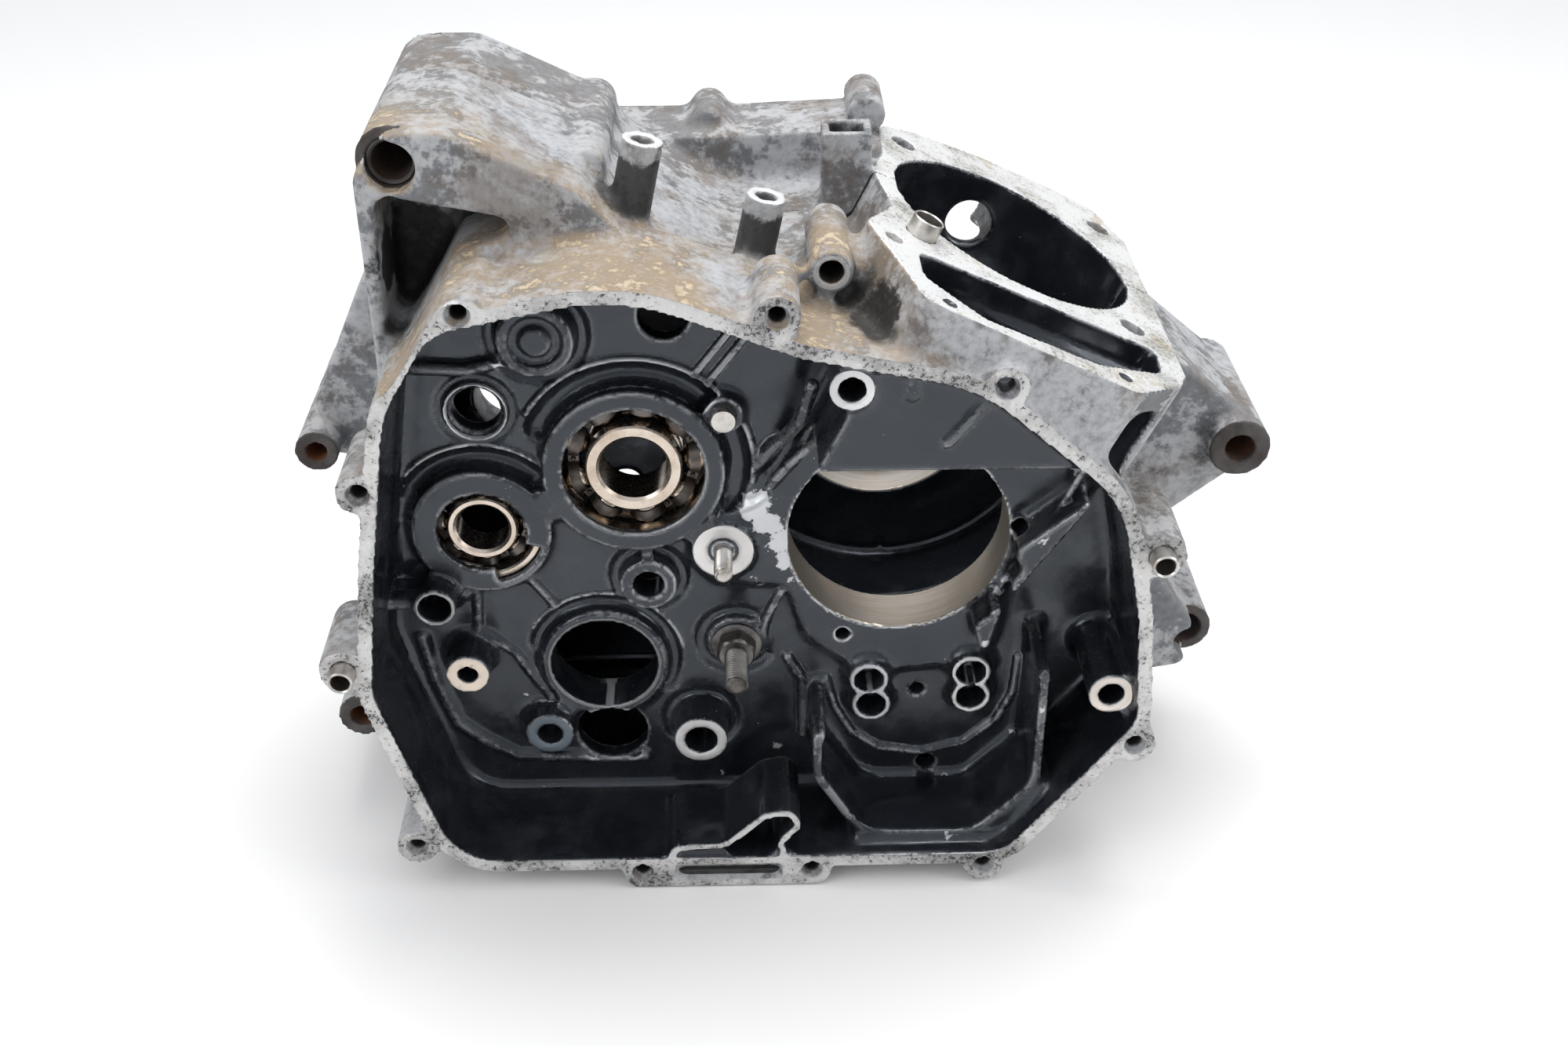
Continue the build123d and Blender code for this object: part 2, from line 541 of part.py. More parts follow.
def ball_bearing(name, xz, spec, y0):
    """The four pieces of a ball bearing, with its near side face at y0."""
    y1 = y0 + spec["width"]
    middle = (y0 + y1) / 2
    pitch_r = (spec["bore"] + spec["od"]) / 4
    ball_r = (spec["od"] - spec["bore"]) / 4 - spec["wall"] - ball_gap
    groove = ball_r + ball_gap
    race_r = (pitch_r + groove) / cos(pi / race_sides)
    outer = stub(*xz, spec["od"] / 2, y0, y1) - prism(
        Pos(*xz) * RegularPolygon(race_r, race_sides), y0 - 1, y1 + 1)
    inner = stub(*xz, pitch_r - groove, y0, y1) - post(*xz, spec["bore"] / 2, y0 - 1, y1 + 1)
    side = 2 * ball_r / corner_reach
    cube = Box(side, side, side)
    ball = cube & (Rot(45, 0, 0) * cube) & (Rot(0, 45, 0) * cube) & (Rot(0, 0, 45) * cube)
    step = 360 / spec["balls"]
    centre = Pos(xz[0], middle, xz[1])
    balls = [centre * Rot(0, i * step, 0) * Pos(pitch_r, 0, 0) * ball for i in range(spec["balls"])]
    web = ball_r * cage_share
    flats = RegularPolygon(pitch_r + web, spec["balls"], major_radius=False)
    flats = flats - RegularPolygon(pitch_r - web, spec["balls"], major_radius=False)
    reach = ball_r + cage_edge
    cage = prism(Pos(*xz) * Rot(0, 0, step / 2) * flats, middle - reach, middle + reach)
    window = 2 * groove
    cage = cage - [centre * Rot(0, i * step, 0) * Pos(pitch_r, 0, 0) * Box(4 * ball_r, window, window)
                   for i in range(spec["balls"])]
    export_step(outer, f"parts/{name}_outer.step")
    export_step(inner, f"parts/{name}_inner.step")
    export_step(Compound(children=balls), f"parts/{name}_balls.step")
    export_step(cage, f"parts/{name}_cage.step")


def sleeve(x, z, od, bore, y0, y1):
    return stub(x, z, od / 2, y0, y1) - stub(x, z, bore / 2, y0 - 1, y1 + 1)


def case_bolt(x, z):
    shank = stub(x, z, case_bolt_d / 2, case_bolt_tip_y, case_bolt_seat_y)
    return shank + bar(x, z, case_bolt_head_af, case_bolt_seat_y, case_bolt_seat_y + case_bolt_head)


def stopper_nut():
    x, z = stopper_xz
    nut = stub(x, z, stopper_nut_flange_d / 2, -stopper_nut_flange, 0)
    nut = nut + bar(x, z, stopper_nut_af, -stopper_nut_height, -1)
    return nut - stub(x, z, stopper_d / 2, -stopper_nut_height - 1, 1)


def strainer_screen():
    x0, x1 = strainer_x
    front = cover_y + strainer_recess
    z0 = strainer_z[0]
    return box(x0, x1, front, cover_y + strainer_length, z0, z0 + strainer_plate)


def cylinder_dowel():
    s, t = deck_stud_places[3]
    above = cylinder_dowel_seat - cylinder_dowel_length
    tube = down(Pos(s, t) * disc(cylinder_dowel_od / 2), cylinder_dowel_seat, above)
    return tube - down(Pos(s, t) * disc(cylinder_dowel_bore / 2), cylinder_dowel_seat + 1, above - 1)


def drain_plug():
    """A threaded plug in the underside, with its hexagon head in a pocket above the ground."""
    x, y = drain_xy
    head = Pos(x, y, base_z + 1) * extrude(RegularPolygon(drain_af / 2, 6, major_radius=False), drain_head)
    return head + Pos(x, y, base_z + 1 + drain_head) * extrude(disc(drain_d / 2), drain_length)


def pivot_bush():
    """The steel bush of the rear upper lug, with a true bore for the frame bolt."""
    x, z, hole_r = rear_upper_lug["x"], rear_upper_lug["z"], rear_upper_lug["hole"] / 2
    front, back = rear_upper_lug["front"], rear_upper_lug["back"]
    return stub(x, z, hole_r + rear_upper_lug["bush"], front, back) - post(x, z, hole_r, front - 1, back + 1)


def main_pieces():
    """The small pieces, by name."""
    x, z = idle_stud_xz
    stud_x, stud_z = stopper_xz
    bolt_x, bolt_z = inner_bolt_xz
    dowel_y = cover_y + cover_dowel_seat - cover_dowel_length
    return {
        "idle_gear_stud": stub(x, z, idle_stud_d / 2, idle_stud_tip_y, stud_end_y),
        "stopper_stud": stub(stud_x, stud_z, stopper_d / 2, stopper_tip_y, stud_end_y),
        "stopper_nut": stopper_nut(),
        "inner_case_bolt": bar(bolt_x, bolt_z, inner_bolt_af, -1 - inner_bolt_head, -1)
        + stub(bolt_x, bolt_z, inner_bolt_d / 2, -1, stud_end_y),
        "cover_dowels": Compound(children=[
            sleeve(x, z, cover_dowel_od, cover_dowel_bore, dowel_y, dowel_y + cover_dowel_length)
            for x, z in cover_dowels]),
        "cylinder_dowel": cylinder_dowel(),
        "case_dowels": Compound(children=[
            stub(x, z, case_dowel_d / 2, parting_y - case_dowel_length / 2, parting_y + case_dowel_length / 2)
            for x, z in case_dowel_places]),
        "case_bolts": Compound(children=[case_bolt(x, z) for x, z in case_bolt_places]),
        "oil_strainer_screen": strainer_screen(),
        "drain_plug": drain_plug(),
        "rear_upper_bush": pivot_bush(),
    }


export_step(clutch_side_case(), "parts/case_clutch_side.step")
export_step(flywheel_side_case(), "parts/case_flywheel_side.step")
for name, piece in main_pieces().items():
    export_step(piece, f"parts/{name}.step")
ball_bearing("main_bearing", main_xz, main_bearing, 0)
ball_bearing("output_bearing", output_xz, output_bearing, 0)
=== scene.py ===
import bpy
import bmesh
import math
import time
import numpy as np
import openvdb as vdb
from mathutils import Matrix, Vector


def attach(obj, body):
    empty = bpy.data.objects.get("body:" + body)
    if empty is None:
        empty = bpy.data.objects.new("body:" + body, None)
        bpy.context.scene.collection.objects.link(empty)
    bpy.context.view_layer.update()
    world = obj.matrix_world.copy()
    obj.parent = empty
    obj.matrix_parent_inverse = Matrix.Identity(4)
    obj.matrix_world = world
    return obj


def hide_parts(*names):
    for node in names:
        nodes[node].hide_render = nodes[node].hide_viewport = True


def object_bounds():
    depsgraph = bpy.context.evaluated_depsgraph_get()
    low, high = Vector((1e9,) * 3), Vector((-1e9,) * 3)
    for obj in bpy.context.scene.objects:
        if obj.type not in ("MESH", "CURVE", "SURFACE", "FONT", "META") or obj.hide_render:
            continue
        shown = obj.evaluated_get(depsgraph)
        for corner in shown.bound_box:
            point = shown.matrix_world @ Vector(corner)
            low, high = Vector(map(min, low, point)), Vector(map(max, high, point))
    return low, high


# Crankcase castings and what is left in them, on a pale studio floor.
# Lengths are metres, and mm turns millimetres into them.
mm = 0.001
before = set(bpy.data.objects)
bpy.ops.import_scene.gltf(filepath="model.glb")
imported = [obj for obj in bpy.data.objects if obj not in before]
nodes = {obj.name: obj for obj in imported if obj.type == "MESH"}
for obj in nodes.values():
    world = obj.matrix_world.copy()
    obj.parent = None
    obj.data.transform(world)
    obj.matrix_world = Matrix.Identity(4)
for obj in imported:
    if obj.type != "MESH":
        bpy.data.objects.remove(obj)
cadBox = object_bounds()
clock = time.time()


def tell(words):
    print(f"[{time.time() - clock:6.1f} s] {words}", flush=True)


def show(obj):
    bpy.context.scene.collection.objects.link(obj)
    return obj


tell("frame loaded")

# Shader maths


class Tap:
    # one output of a shader node; Python operators on it add Math or Vector Math nodes
    def __init__(self, sheet, out):
        self.sheet = sheet
        self.out = out

    def maths(self, word, other=None, third=None, flip=False):
        sides = [other, self] if flip else [self, other]
        sides.append(third)
        kind = "ShaderNodeVectorMath" if self.out.type == "VECTOR" else "ShaderNodeMath"
        values = {i: side for i, side in enumerate(sides) if side is not None}
        return self.sheet.node(kind, {"operation": word}, values)

    def __add__(self, other):
        return self.maths("ADD", other)

    def __radd__(self, other):
        return self.maths("ADD", other, flip=True)

    def __sub__(self, other):
        return self.maths("SUBTRACT", other)

    def __rsub__(self, other):
        return self.maths("SUBTRACT", other, flip=True)

    def __mul__(self, other):
        return self.maths("MULTIPLY", other)

    def __rmul__(self, other):
        return self.maths("MULTIPLY", other, flip=True)

    def low(self, other):
        return self.maths("MINIMUM", other)

    def high(self, other):
        return self.maths("MAXIMUM", other)

    def between(self, start, end):
        # 0 at start, 1 at end, smooth in between
        return self.sheet.node("ShaderNodeMapRange", {"interpolation_type": "SMOOTHSTEP"},
                               {"Value": self, "From Min": start, "From Max": end})


class Sheet:
    # the node tree of one material
    def __init__(self, name):
        self.material = bpy.data.materials.new(name)
        self.material.use_nodes = True
        self.tree = self.material.node_tree
        self.tree.nodes.clear()
        self.shader = self.tree.nodes.new("ShaderNodeBsdfPrincipled")
        end = self.tree.nodes.new("ShaderNodeOutputMaterial")
        self.tree.links.new(self.shader.outputs["BSDF"], end.inputs["Surface"])
        self.place = self.node("ShaderNodeTexCoord", out="Object")
        self.facing = self.node("ShaderNodeNewGeometry", out="Normal")

    def node(self, kind, settings=None, sockets=None, out=0):
        made = self.tree.nodes.new(kind)
        for name, value in (settings or {}).items():
            setattr(made, name, value)
        for name, value in (sockets or {}).items():
            if isinstance(name, int):
                socket = made.inputs[name]
            else:
                socket = next(s for s in made.inputs if s.name == name and s.enabled)
            self.feed(socket, value)
        if isinstance(out, int):
            return Tap(self, [s for s in made.outputs if s.enabled][out])
        return Tap(self, made.outputs[out])

    def feed(self, socket, value):
        if isinstance(value, Tap):
            self.tree.links.new(value.out, socket)
        elif socket.type == "RGBA":
            socket.default_value = (*value[:3], 1.0)
        elif socket.type == "VECTOR" and isinstance(value, (int, float)):
            socket.default_value = (value, value, value)
        else:
            socket.default_value = value

    def mix(self, mask, first, second):
        # colours: first where the mask is 0, second where it is 1
        return self.node("ShaderNodeMix", {"data_type": "RGBA"}, {0: mask, 6: first, 7: second})

    def noise(self, scale, detail=4.0, rough=0.55, stretch=None, shift=0.0):
        spot = self.place
        if stretch or shift:
            spot = spot * (stretch or (1.0, 1.0, 1.0)) + (shift, shift * 0.7, -shift)
        return self.node("ShaderNodeTexNoise", {}, {"Vector": spot, "Scale": scale,
                         "Detail": detail, "Roughness": rough})

    def cells(self, scale, shift=0.0):
        spot = self.place + (shift, -shift, shift * 0.5)
        return self.node("ShaderNodeTexVoronoi", {}, {"Vector": spot, "Scale": scale})

    def axis(self, vector, name):
        return self.node("ShaderNodeSeparateXYZ", {}, {0: vector}, out=name)

    def edge(self, reach):
        # 1 on convex edges: how much of the solid is missing within reach
        shade = self.node("ShaderNodeAmbientOcclusion", {"samples": 6, "inside": True, "only_local": True},
                          {"Distance": reach}, out="AO")
        return 1.0 - shade

    def corner(self, reach):
        # 1 in hollows and inner corners
        shade = self.node("ShaderNodeAmbientOcclusion", {"samples": 6, "only_local": True},
                          {"Distance": reach}, out="AO")
        return 1.0 - shade

    def near(self, value, middle, reach):
        # 1 where a value is within reach of the middle
        return self.node("ShaderNodeMath", {"operation": "COMPARE"}, {0: value, 1: middle, 2: reach})

    def away(self, flat, x, z):
        # metres from an axis along Y, for a place flattened to Y = 0
        return self.node("ShaderNodeVectorMath", {"operation": "DISTANCE"},
                         {0: flat, 1: (x * mm, 0.0, z * mm)}, out="Value")

    def along(self, vector, lean):
        # how far a vector reaches up a direction that leans from Z towards X
        return self.node("ShaderNodeVectorMath", {"operation": "DOT_PRODUCT"},
                         {0: vector, 1: (math.sin(lean), 0.0, math.cos(lean))}, out="Value")

    def gap(self, x, y, z):
        # metres from a point given in millimetres
        return self.node("ShaderNodeVectorMath", {"operation": "DISTANCE"},
                         {0: self.place, 1: (x * mm, y * mm, z * mm)}, out="Value")

    def bump(self, height, depth):
        return self.node("ShaderNodeBump", {}, {"Strength": 1.0, "Distance": depth, "Height": height})

    def set(self, **values):
        for name, value in values.items():
            socket = self.shader.inputs[name.replace("_", " ")]
            self.feed(socket, value)
        return self.material


# Finishes

deckLean = math.radians(25.5)
deckHeight = 90.3
mainAxis = (-84.6, 26.6)
outputAxis = (-134.1, 5.1)
drumAxis = (-97.7, -49.3)
partingY = 56.0
coverY = -36.0
farCoverY = 118.0
seats = [(36.0, 9.5, 9.2), (35.0, 95.5, 9.3)]   # bore radius, middle and half length of both crank seats

milledLook = {
    "joint": (0.64, 0.63, 0.62), "jointDull": (0.30, 0.295, 0.29), "jointLight": (0.86, 0.84, 0.81),
    "deck": (0.70, 0.695, 0.68), "deckDull": (0.47, 0.46, 0.42), "stain": (0.42, 0.32, 0.17),
    "seat": (0.80, 0.74, 0.66), "seatWarm": (0.66, 0.55, 0.43), "pit": (0.03, 0.03, 0.032),
}


def addMilled(s, look, edge, colour, rough, metal, height):
    # lays the milled joint faces, the deck and the bored seats over the finish of a casting
    place = s.place
    deep = s.axis(place, "Y")
    faceY = s.axis(s.facing, "Y")
    rise = s.along(place, deckLean)
    faceRise = s.along(s.facing, deckLean)
    cloud = s.noise(48.0, 5.0, 0.62, shift=0.9)
    speckle = s.noise(820.0, 5.0, 0.7, shift=0.5)
    grime = (edge * 0.9 + speckle * 0.9 + cloud * 0.25).between(0.88, 1.08)
    pits = (speckle + cloud * 0.40).between(0.74, 0.83)
    joint = s.mix(cloud.between(0.38, 0.66), look["joint"], look["jointDull"])
    joint = s.mix(speckle.between(0.42, 0.30) * 0.6, joint, look["jointLight"])
    joint = s.mix((grime * 0.75).high(pits * 0.9), joint, look["pit"])
    deckTone = s.mix(cloud.between(0.42, 0.68), look["deck"], look["deckDull"])
    stain = (s.noise(62.0, 5.0, 0.65, shift=2.0) + speckle * 0.2).between(0.66, 0.78)
    deckTone = s.mix(stain * 0.5, deckTone, look["stain"])
    deckTone = s.mix((grime * 0.5).high(pits * 0.6), deckTone, look["pit"])
    jointMask = (0.0 - deep).between(-(coverY + 0.28) * mm, -(coverY + 0.14) * mm)
    jointMask = jointMask * (0.0 - faceY).between(0.7, 0.85)
    farMask = deep.between((farCoverY - 0.28) * mm, (farCoverY - 0.14) * mm)
    jointMask = jointMask.high(farMask * faceY.between(0.7, 0.85))
    deckMask = s.near(rise, deckHeight * mm, 0.35 * mm) * faceRise.between(0.7, 0.85)
    flat = place * (1.0, 0.0, 1.0)
    middle = s.away(flat, 0.0, 0.0)
    seatMask = 0.0
    for radius, centre, half in seats:
        found = s.near(middle, radius * mm, 0.5 * mm) * s.near(deep, centre * mm, half * mm)
        seatMask = found + seatMask
    lines = s.noise(1.0, 3.0, 0.6, stretch=(40.0, 2400.0, 40.0))
    seatTone = s.mix(lines.between(0.35, 0.7), look["seat"], look["seatWarm"])
    seatTone = s.mix((cloud + speckle * 0.4).between(0.80, 0.92) * 0.6, seatTone, look["pit"])
    colour = s.mix(jointMask, colour, joint)
    colour = s.mix(deckMask, colour, deckTone)
    colour = s.mix(seatMask, colour, seatTone)
    milled = jointMask.high(deckMask)
    bare = milled.high(seatMask)
    rough = rough * (1.0 - bare) + milled * (0.40 + speckle * 0.2) + seatMask * (0.24 + lines * 0.12)
    metal = metal * (1.0 - bare) + jointMask * 0.5 + deckMask * 0.25 + seatMask * 0.8
    height = height * (1.0 - bare) + milled * speckle * 0.12 + seatMask * lines * 0.1
    return colour, rough, metal, height


# bare faces of bosses: x, z, hole, outer radius, face, brightness, warmth
bossFaces = [
    (-18.4, 71.5, 4.1, 6.5, -33.0, 0.80, 0.0), (-142.0, -44.6, 3.3, 7.0, -12.0, 0.74, 0.16),
    (-117.4, -75.0, 4.3, 7.6, -6.0, 0.16, -0.16), (-65.7, -75.5, 5.6, 8.8, -10.0, 0.62, 0.02),
    (-150.2, -17.8, 5.4, 6.7, -12.0, 0.42, 0.0), (-8.4, -55.5, 4.9, 6.7, -4.0, 0.62, -0.03),
    (-7.4, -66.0, 4.9, 6.7, -4.0, 0.62, -0.03), (26.2, -53.0, 4.9, 6.7, -4.0, 0.66, 0.0),
    (26.6, -63.2, 4.9, 6.7, -4.0, 0.66, 0.0), (68.2, -43.0, 4.3, 7.2, -30.0, 0.72, 0.10),
    (-56.9, -3.1, 5.2, 9.8, -3.0, 0.74, 0.03), (-97.7, -49.3, 18.2, 18.9, -1.0, 0.20, 0.0),
]
# places where the enamel is scraped to the metal: x, z, radius, amount
scuffs = [
    (-46.5, 12.0, 11.0, 0.90), (-42.5, 5.5, 10.5, 0.90), (-39.0, -1.5, 9.0, 0.85),
    (-36.5, -8.5, 8.0, 0.80),
    (-57.0, -15.5, 8.0, 0.46), (-46.0, -17.0, 8.0, 0.50), (-34.0, -18.0, 8.0, 0.50),
    (-22.0, -28.0, 7.0, 0.44), (-8.0, -37.5, 7.0, 0.36), (-109.5, 0.5, 5.0, 0.50),
    (-84.0, -4.0, 8.0, 0.34), (-98.0, -72.0, 10.0, 0.40),
    (-126.0, -64.0, 11.0, 0.32), (34.0, -20.0, 8.0, 0.52), (46.0, 7.0, 8.0, 0.50),
    (57.0, 24.0, 7.0, 0.50), (30.0, -34.0, 7.0, 0.50), (-41.0, -88.0, 7.0, 0.50),
    (-60.0, -97.0, 9.0, 0.42), (44.0, -80.0, 9.0, 0.46),
    (-22.0, -88.0, 9.0, 0.42), (18.0, -103.0, 10.0, 0.42), (-85.0, 60.0, 7.0, 0.38),
    (-118.0, 14.0, 5.0, 0.46), (47.0, -50.0, 7.0, 0.44),
]

# the slight blue in the black is a painted reflection of the cool sky
enamelLook = {
    "black": (0.0085, 0.0098, 0.0128), "film": (0.022, 0.023, 0.026), "metal": (0.60, 0.61, 0.62),
    "gloss": 0.12, "dull": 0.34, "chipReach": 1.1 * mm, "chips": 1.0,
}


def makeEnamel(look):
    # black engine enamel, glossy, with oil film, and bare metal where the edges are chipped
    s = Sheet("black_enamel")
    cloud = s.noise(26.0, 5.0)
    film = s.noise(70.0, 6.0, 0.65).between(0.40, 0.66) * cloud.between(0.35, 0.62)
    colour = s.mix(film, look["black"], look["film"])
    edge = s.edge(look["chipReach"])
    grit = s.noise(420.0, 5.0, 0.6)
    patch = s.noise(38.0, 3.0)
    worn = (edge * 1.5 + grit * 0.9 + patch * 1.2).between(1.20, 1.30) * edge.between(0.05, 0.12)
    specks = 1.0 - s.cells(210.0, 0.3).between(0.035, 0.06)
    specks = specks * s.noise(33.0, 2.0, shift=0.4).between(0.60, 0.66)
    bare = worn.high(specks) * look["chips"]
    flat = s.place * (1.0, 0.0, 1.0)
    deep = s.axis(s.place, "Y")
    faceY = s.axis(s.facing, "Y")
    ahead = (0.0 - faceY).between(0.2, 0.5) * (1.0 - deep.between(3.2 * mm, 4.5 * mm))
    scrape = s.noise(150.0, 7.0, 0.72, shift=6.0)
    found = 0.0
    for x, z, radius, amount in scuffs:
        reach = 1.0 - s.away(flat, x, z).between(0.15 * radius * mm, radius * mm)
        found = (reach * amount).high(found)
    scraped = (scrape + found * 0.5 + edge * 0.4).between(0.79, 0.82) * found.between(0.02, 0.08) * ahead
    bare = bare.high(scraped).low(1.0)
    colour = s.mix(bare, colour, look["metal"])
    metal = bare * 0.6
    ragged = (scrape - 0.5) * 0.9 * mm
    for x, z, hole, radius, face, bright, warm in bossFaces:
        gap = s.away(flat, x, z) + ragged
        ring = 1.0 - gap.between((radius - 0.1) * mm, (radius + 0.15) * mm)
        ring = ring * gap.between((hole - 0.3) * mm, hole * mm)
        ring = ring * s.near(deep, face * mm, 0.55 * mm) * (0.0 - faceY).between(0.6, 0.8)
        tone = (bright * (1.0 + warm), bright, bright * (1.0 - warm))
        tone = s.mix(cloud.between(0.35, 0.7) * 0.6, tone, tuple(0.55 * v for v in tone))
        colour = s.mix(ring, colour, tone)
        metal = metal.high(ring * 0.45)
    grain = s.noise(900.0, 3.0)
    orange = s.noise(230.0, 3.0)
    wave = s.noise(75.0, 2.0, shift=1.4)
    height = grain * 0.12 + orange * 0.3 + wave * 2.2 - bare * 0.8
    rough = s.noise(90.0, 4.0, shift=0.2).between(0.3, 0.75) * (look["dull"] - look["gloss"]) + look["gloss"]
    rough = rough + film * 0.12 + metal * 0.25
    colour, rough, metal, height = addMilled(s, milledLook, edge, colour, rough, metal, height)
    return s.set(Base_Color=colour, Roughness=rough, Metallic=metal, Specular_IOR_Level=0.72,
                 Specular_Tint=(0.84, 0.91, 1.0), Normal=s.bump(height, 0.09 * mm))


# the soot colour is black for real soot and the parting seam, and also for painted shade in hollows and in
# the roof bolt's bore
paintLook = {
    "pale": (0.43, 0.435, 0.445), "ash": (0.25, 0.254, 0.262), "slate": (0.085, 0.095, 0.108),
    "sootAndShade": (0.012, 0.0115, 0.012), "brown": (0.12, 0.082, 0.052), "tan": (0.34, 0.25, 0.155),
    "cream": (0.54, 0.44, 0.31), "metal": (0.68, 0.68, 0.67), "steel": (0.17, 0.165, 0.16),
}
# soot and black paint on the outside: x, y, z, radius, strength
sootSpots = [
    (-81.0, 16.0, 116.0, 17.0, 1.5), (-44.0, 16.0, 100.0, 15.0, 1.4), (-6.0, -14.0, 83.0, 24.0, 1.2),
    (-150.0, 34.0, 88.0, 26.0, 1.3), (-130.0, 34.0, 102.0, 22.0, 0.9), (-158.0, 16.0, 92.0, 18.0, 1.3),
    (12.0, -26.0, 74.0, 16.0, 0.9), (-158.0, 2.0, 96.0, 20.0, 0.9), (-152.0, 0.0, 74.0, 16.0, 0.8),
    (-118.0, 4.0, 118.0, 16.0, 0.6), (96.0, 30.0, 22.0, 26.0, 0.75), (-15.5, 64.0, 108.0, 20.0, 0.7),
    (-172.0, 10.0, -30.0, 22.0, 0.5), (-60.0, 60.0, 92.0, 24.0, 0.5), (-100.0, 30.0, 112.0, 14.0, 0.5),
]
roofBosses = [(-78.1, 129.4), (-41.9, 111.5)]   # middles of the leaning bosses' tops
roofBossY = 16.0
roofBossLean = math.radians(12)
roofBolt = {"x": -23.5, "z": 97.0, "hole": 3.6, "front": -8.0, "drilled": 8.0}
upperLug = {"x": -150.0, "z": 127.0, "radius": 10.6, "front": 6.0}


def makePaint(look):
    # weathered grey paint on the outside, with slate undercoat, baked soil on top, soot and painted shade in
    # hollows, and bare edges
    s = Sheet("weathered_paint")
    up = s.axis(s.facing, "Z")
    side = s.axis(s.place, "X")
    high = s.axis(s.place, "Z")
    deep = s.axis(s.place, "Y")
    broad = s.noise(22.0, 6.0, 0.62)
    flake = s.noise(85.0, 8.0, 0.72, shift=0.3)
    fine = s.noise(360.0, 5.0, 0.65, shift=0.8)
    colour = s.mix((fine * 0.8 + flake * 0.5).between(0.52, 0.86), look["pale"], look["ash"])
    peel = (flake + broad * 0.8 + fine * 0.25).between(1.02, 1.12)
    colour = s.mix(peel * 0.65, colour, look["slate"])
    stain = (s.noise(30.0, 6.0, 0.6, shift=1.7) + flake * 0.3 + fine * 0.15).between(0.70, 0.86)
    colour = s.mix(stain * 0.5, colour, look["brown"])
    bakedTop = up.between(0.1, 0.7) * (broad + fine * 0.3).between(0.50, 0.78)
    near = (1.0 - deep.between(0.0, 46.0 * mm)) * high.between(0.03, 0.07) * (1.0 - side.between(-0.02, 0.03))
    bakedTop = bakedTop * (near * 0.85 + 0.15)
    colour = s.mix(bakedTop * 0.8, colour, look["tan"])
    crust = (flake + fine * 0.35 + bakedTop * 0.22).between(0.88, 1.00) * bakedTop.between(0.15, 0.5)
    colour = s.mix(crust, colour, look["cream"])
    # painted shade: hollows and inner corners are darkened with the soot colour, together with real soot
    # spots and the dark parting seam
    hollowShade = s.corner(7.0 * mm)
    spots = 0.0
    for x, y, z, radius, strength in sootSpots:
        spot = 1.0 - s.gap(x, y, z).between(0.35 * radius * mm, radius * mm)
        spots = (spot * strength).high(spots)
    sootAndShade = (hollowShade * 1.1 + flake * 0.7 + fine * 0.25 + spots * 0.62).between(1.00, 1.16)
    seam = s.near(deep, partingY * mm, 0.4 * mm)
    colour = s.mix((sootAndShade * 0.92).high(seam), colour, look["sootAndShade"])
    flat = s.place * (1.0, 0.0, 1.0)
    lug = s.away(flat, upperLug["x"], upperLug["z"])
    # painted shade: the inside of the roof bolt's hole is coloured black
    boltBoreShade = 1.0 - s.away(flat, roofBolt["x"], roofBolt["z"]).between(3.5 * mm, 3.9 * mm)
    boltBoreShade = boltBoreShade * (1.0 - deep.between(8 * mm, 10 * mm))
    lugFace = (1.0 - lug.between((upperLug["radius"] + 0.1) * mm, (upperLug["radius"] + 0.4) * mm))
    lugFace = lugFace * s.near(deep, upperLug["front"] * mm, 0.6 * mm)
    colour = s.mix(lugFace, colour, s.mix(flake.between(0.4, 0.6), look["steel"], look["sootAndShade"]))
    colour = s.mix(boltBoreShade, colour, look["sootAndShade"])
    edge = s.edge(1.3 * mm)
    chips = (edge * 1.3 + fine * 0.8 + flake * 0.7).between(1.28, 1.42)
    turned = 0.0
    rise = s.along(s.place, roofBossLean)
    for x, z in roofBosses:
        level = (x * math.sin(roofBossLean) + z * math.cos(roofBossLean)) * mm
        top = s.near(rise, level, 0.45 * mm) * (1.0 - s.gap(x, roofBossY, z).between(5.9 * mm, 6.2 * mm))
        turned = top + turned
    bolt = s.away(flat, roofBolt["x"], roofBolt["z"])
    ring = (1.0 - bolt.between(5.2 * mm, 5.6 * mm)) * s.near(deep, roofBolt["front"] * mm, 0.6 * mm)
    turned = turned.high(ring * 0.55)
    bare = (chips * 0.85).high(turned * (1.0 - fine.between(0.62, 0.70)))
    colour = s.mix(bare, colour, look["metal"])
    height = fine * 0.6 + flake * 0.7 - peel * 0.4 + crust * 0.6 - turned * 0.8
    rough = 0.60 + fine * 0.2 - bare * 0.2 - sootAndShade * 0.22
    colour, rough, metal, height = addMilled(s, milledLook, edge, colour, rough, bare * 0.45, height)
    return s.set(Base_Color=colour, Roughness=rough, Metallic=metal, Normal=s.bump(height, 0.28 * mm))


rustLook = {"steel": (0.10, 0.092, 0.088), "dark": (0.045, 0.038, 0.034),
            "rust": (0.21, 0.085, 0.035),
            "shine": (0.5, 0.48, 0.45)}


def makeRust(name, look, amount):
    # steel of a lug or bush with rust in its bore
    s = Sheet(name)
    cloud = s.noise(85.0, 6.0, 0.65, shift=3.3)
    speckle = s.noise(480.0, 6.0, 0.7, shift=1.1)
    colour = s.mix(cloud.between(0.35, 0.65), look["steel"], look["dark"])
    rust = (cloud * 0.6 + speckle * 0.5 + s.corner(9.0 * mm) * amount).between(0.72, 0.95)
    colour = s.mix(rust, colour, look["rust"])
    edge = s.edge(0.9 * mm)
    shine = (edge * 1.1 + speckle * 0.6).between(0.86, 1.04)
    colour = s.mix(shine * 0.4, colour, look["shine"])
    return s.set(Base_Color=colour, Roughness=0.55 + speckle * 0.25, Metallic=0.35,
                 Normal=s.bump(speckle + rust, 0.12 * mm))


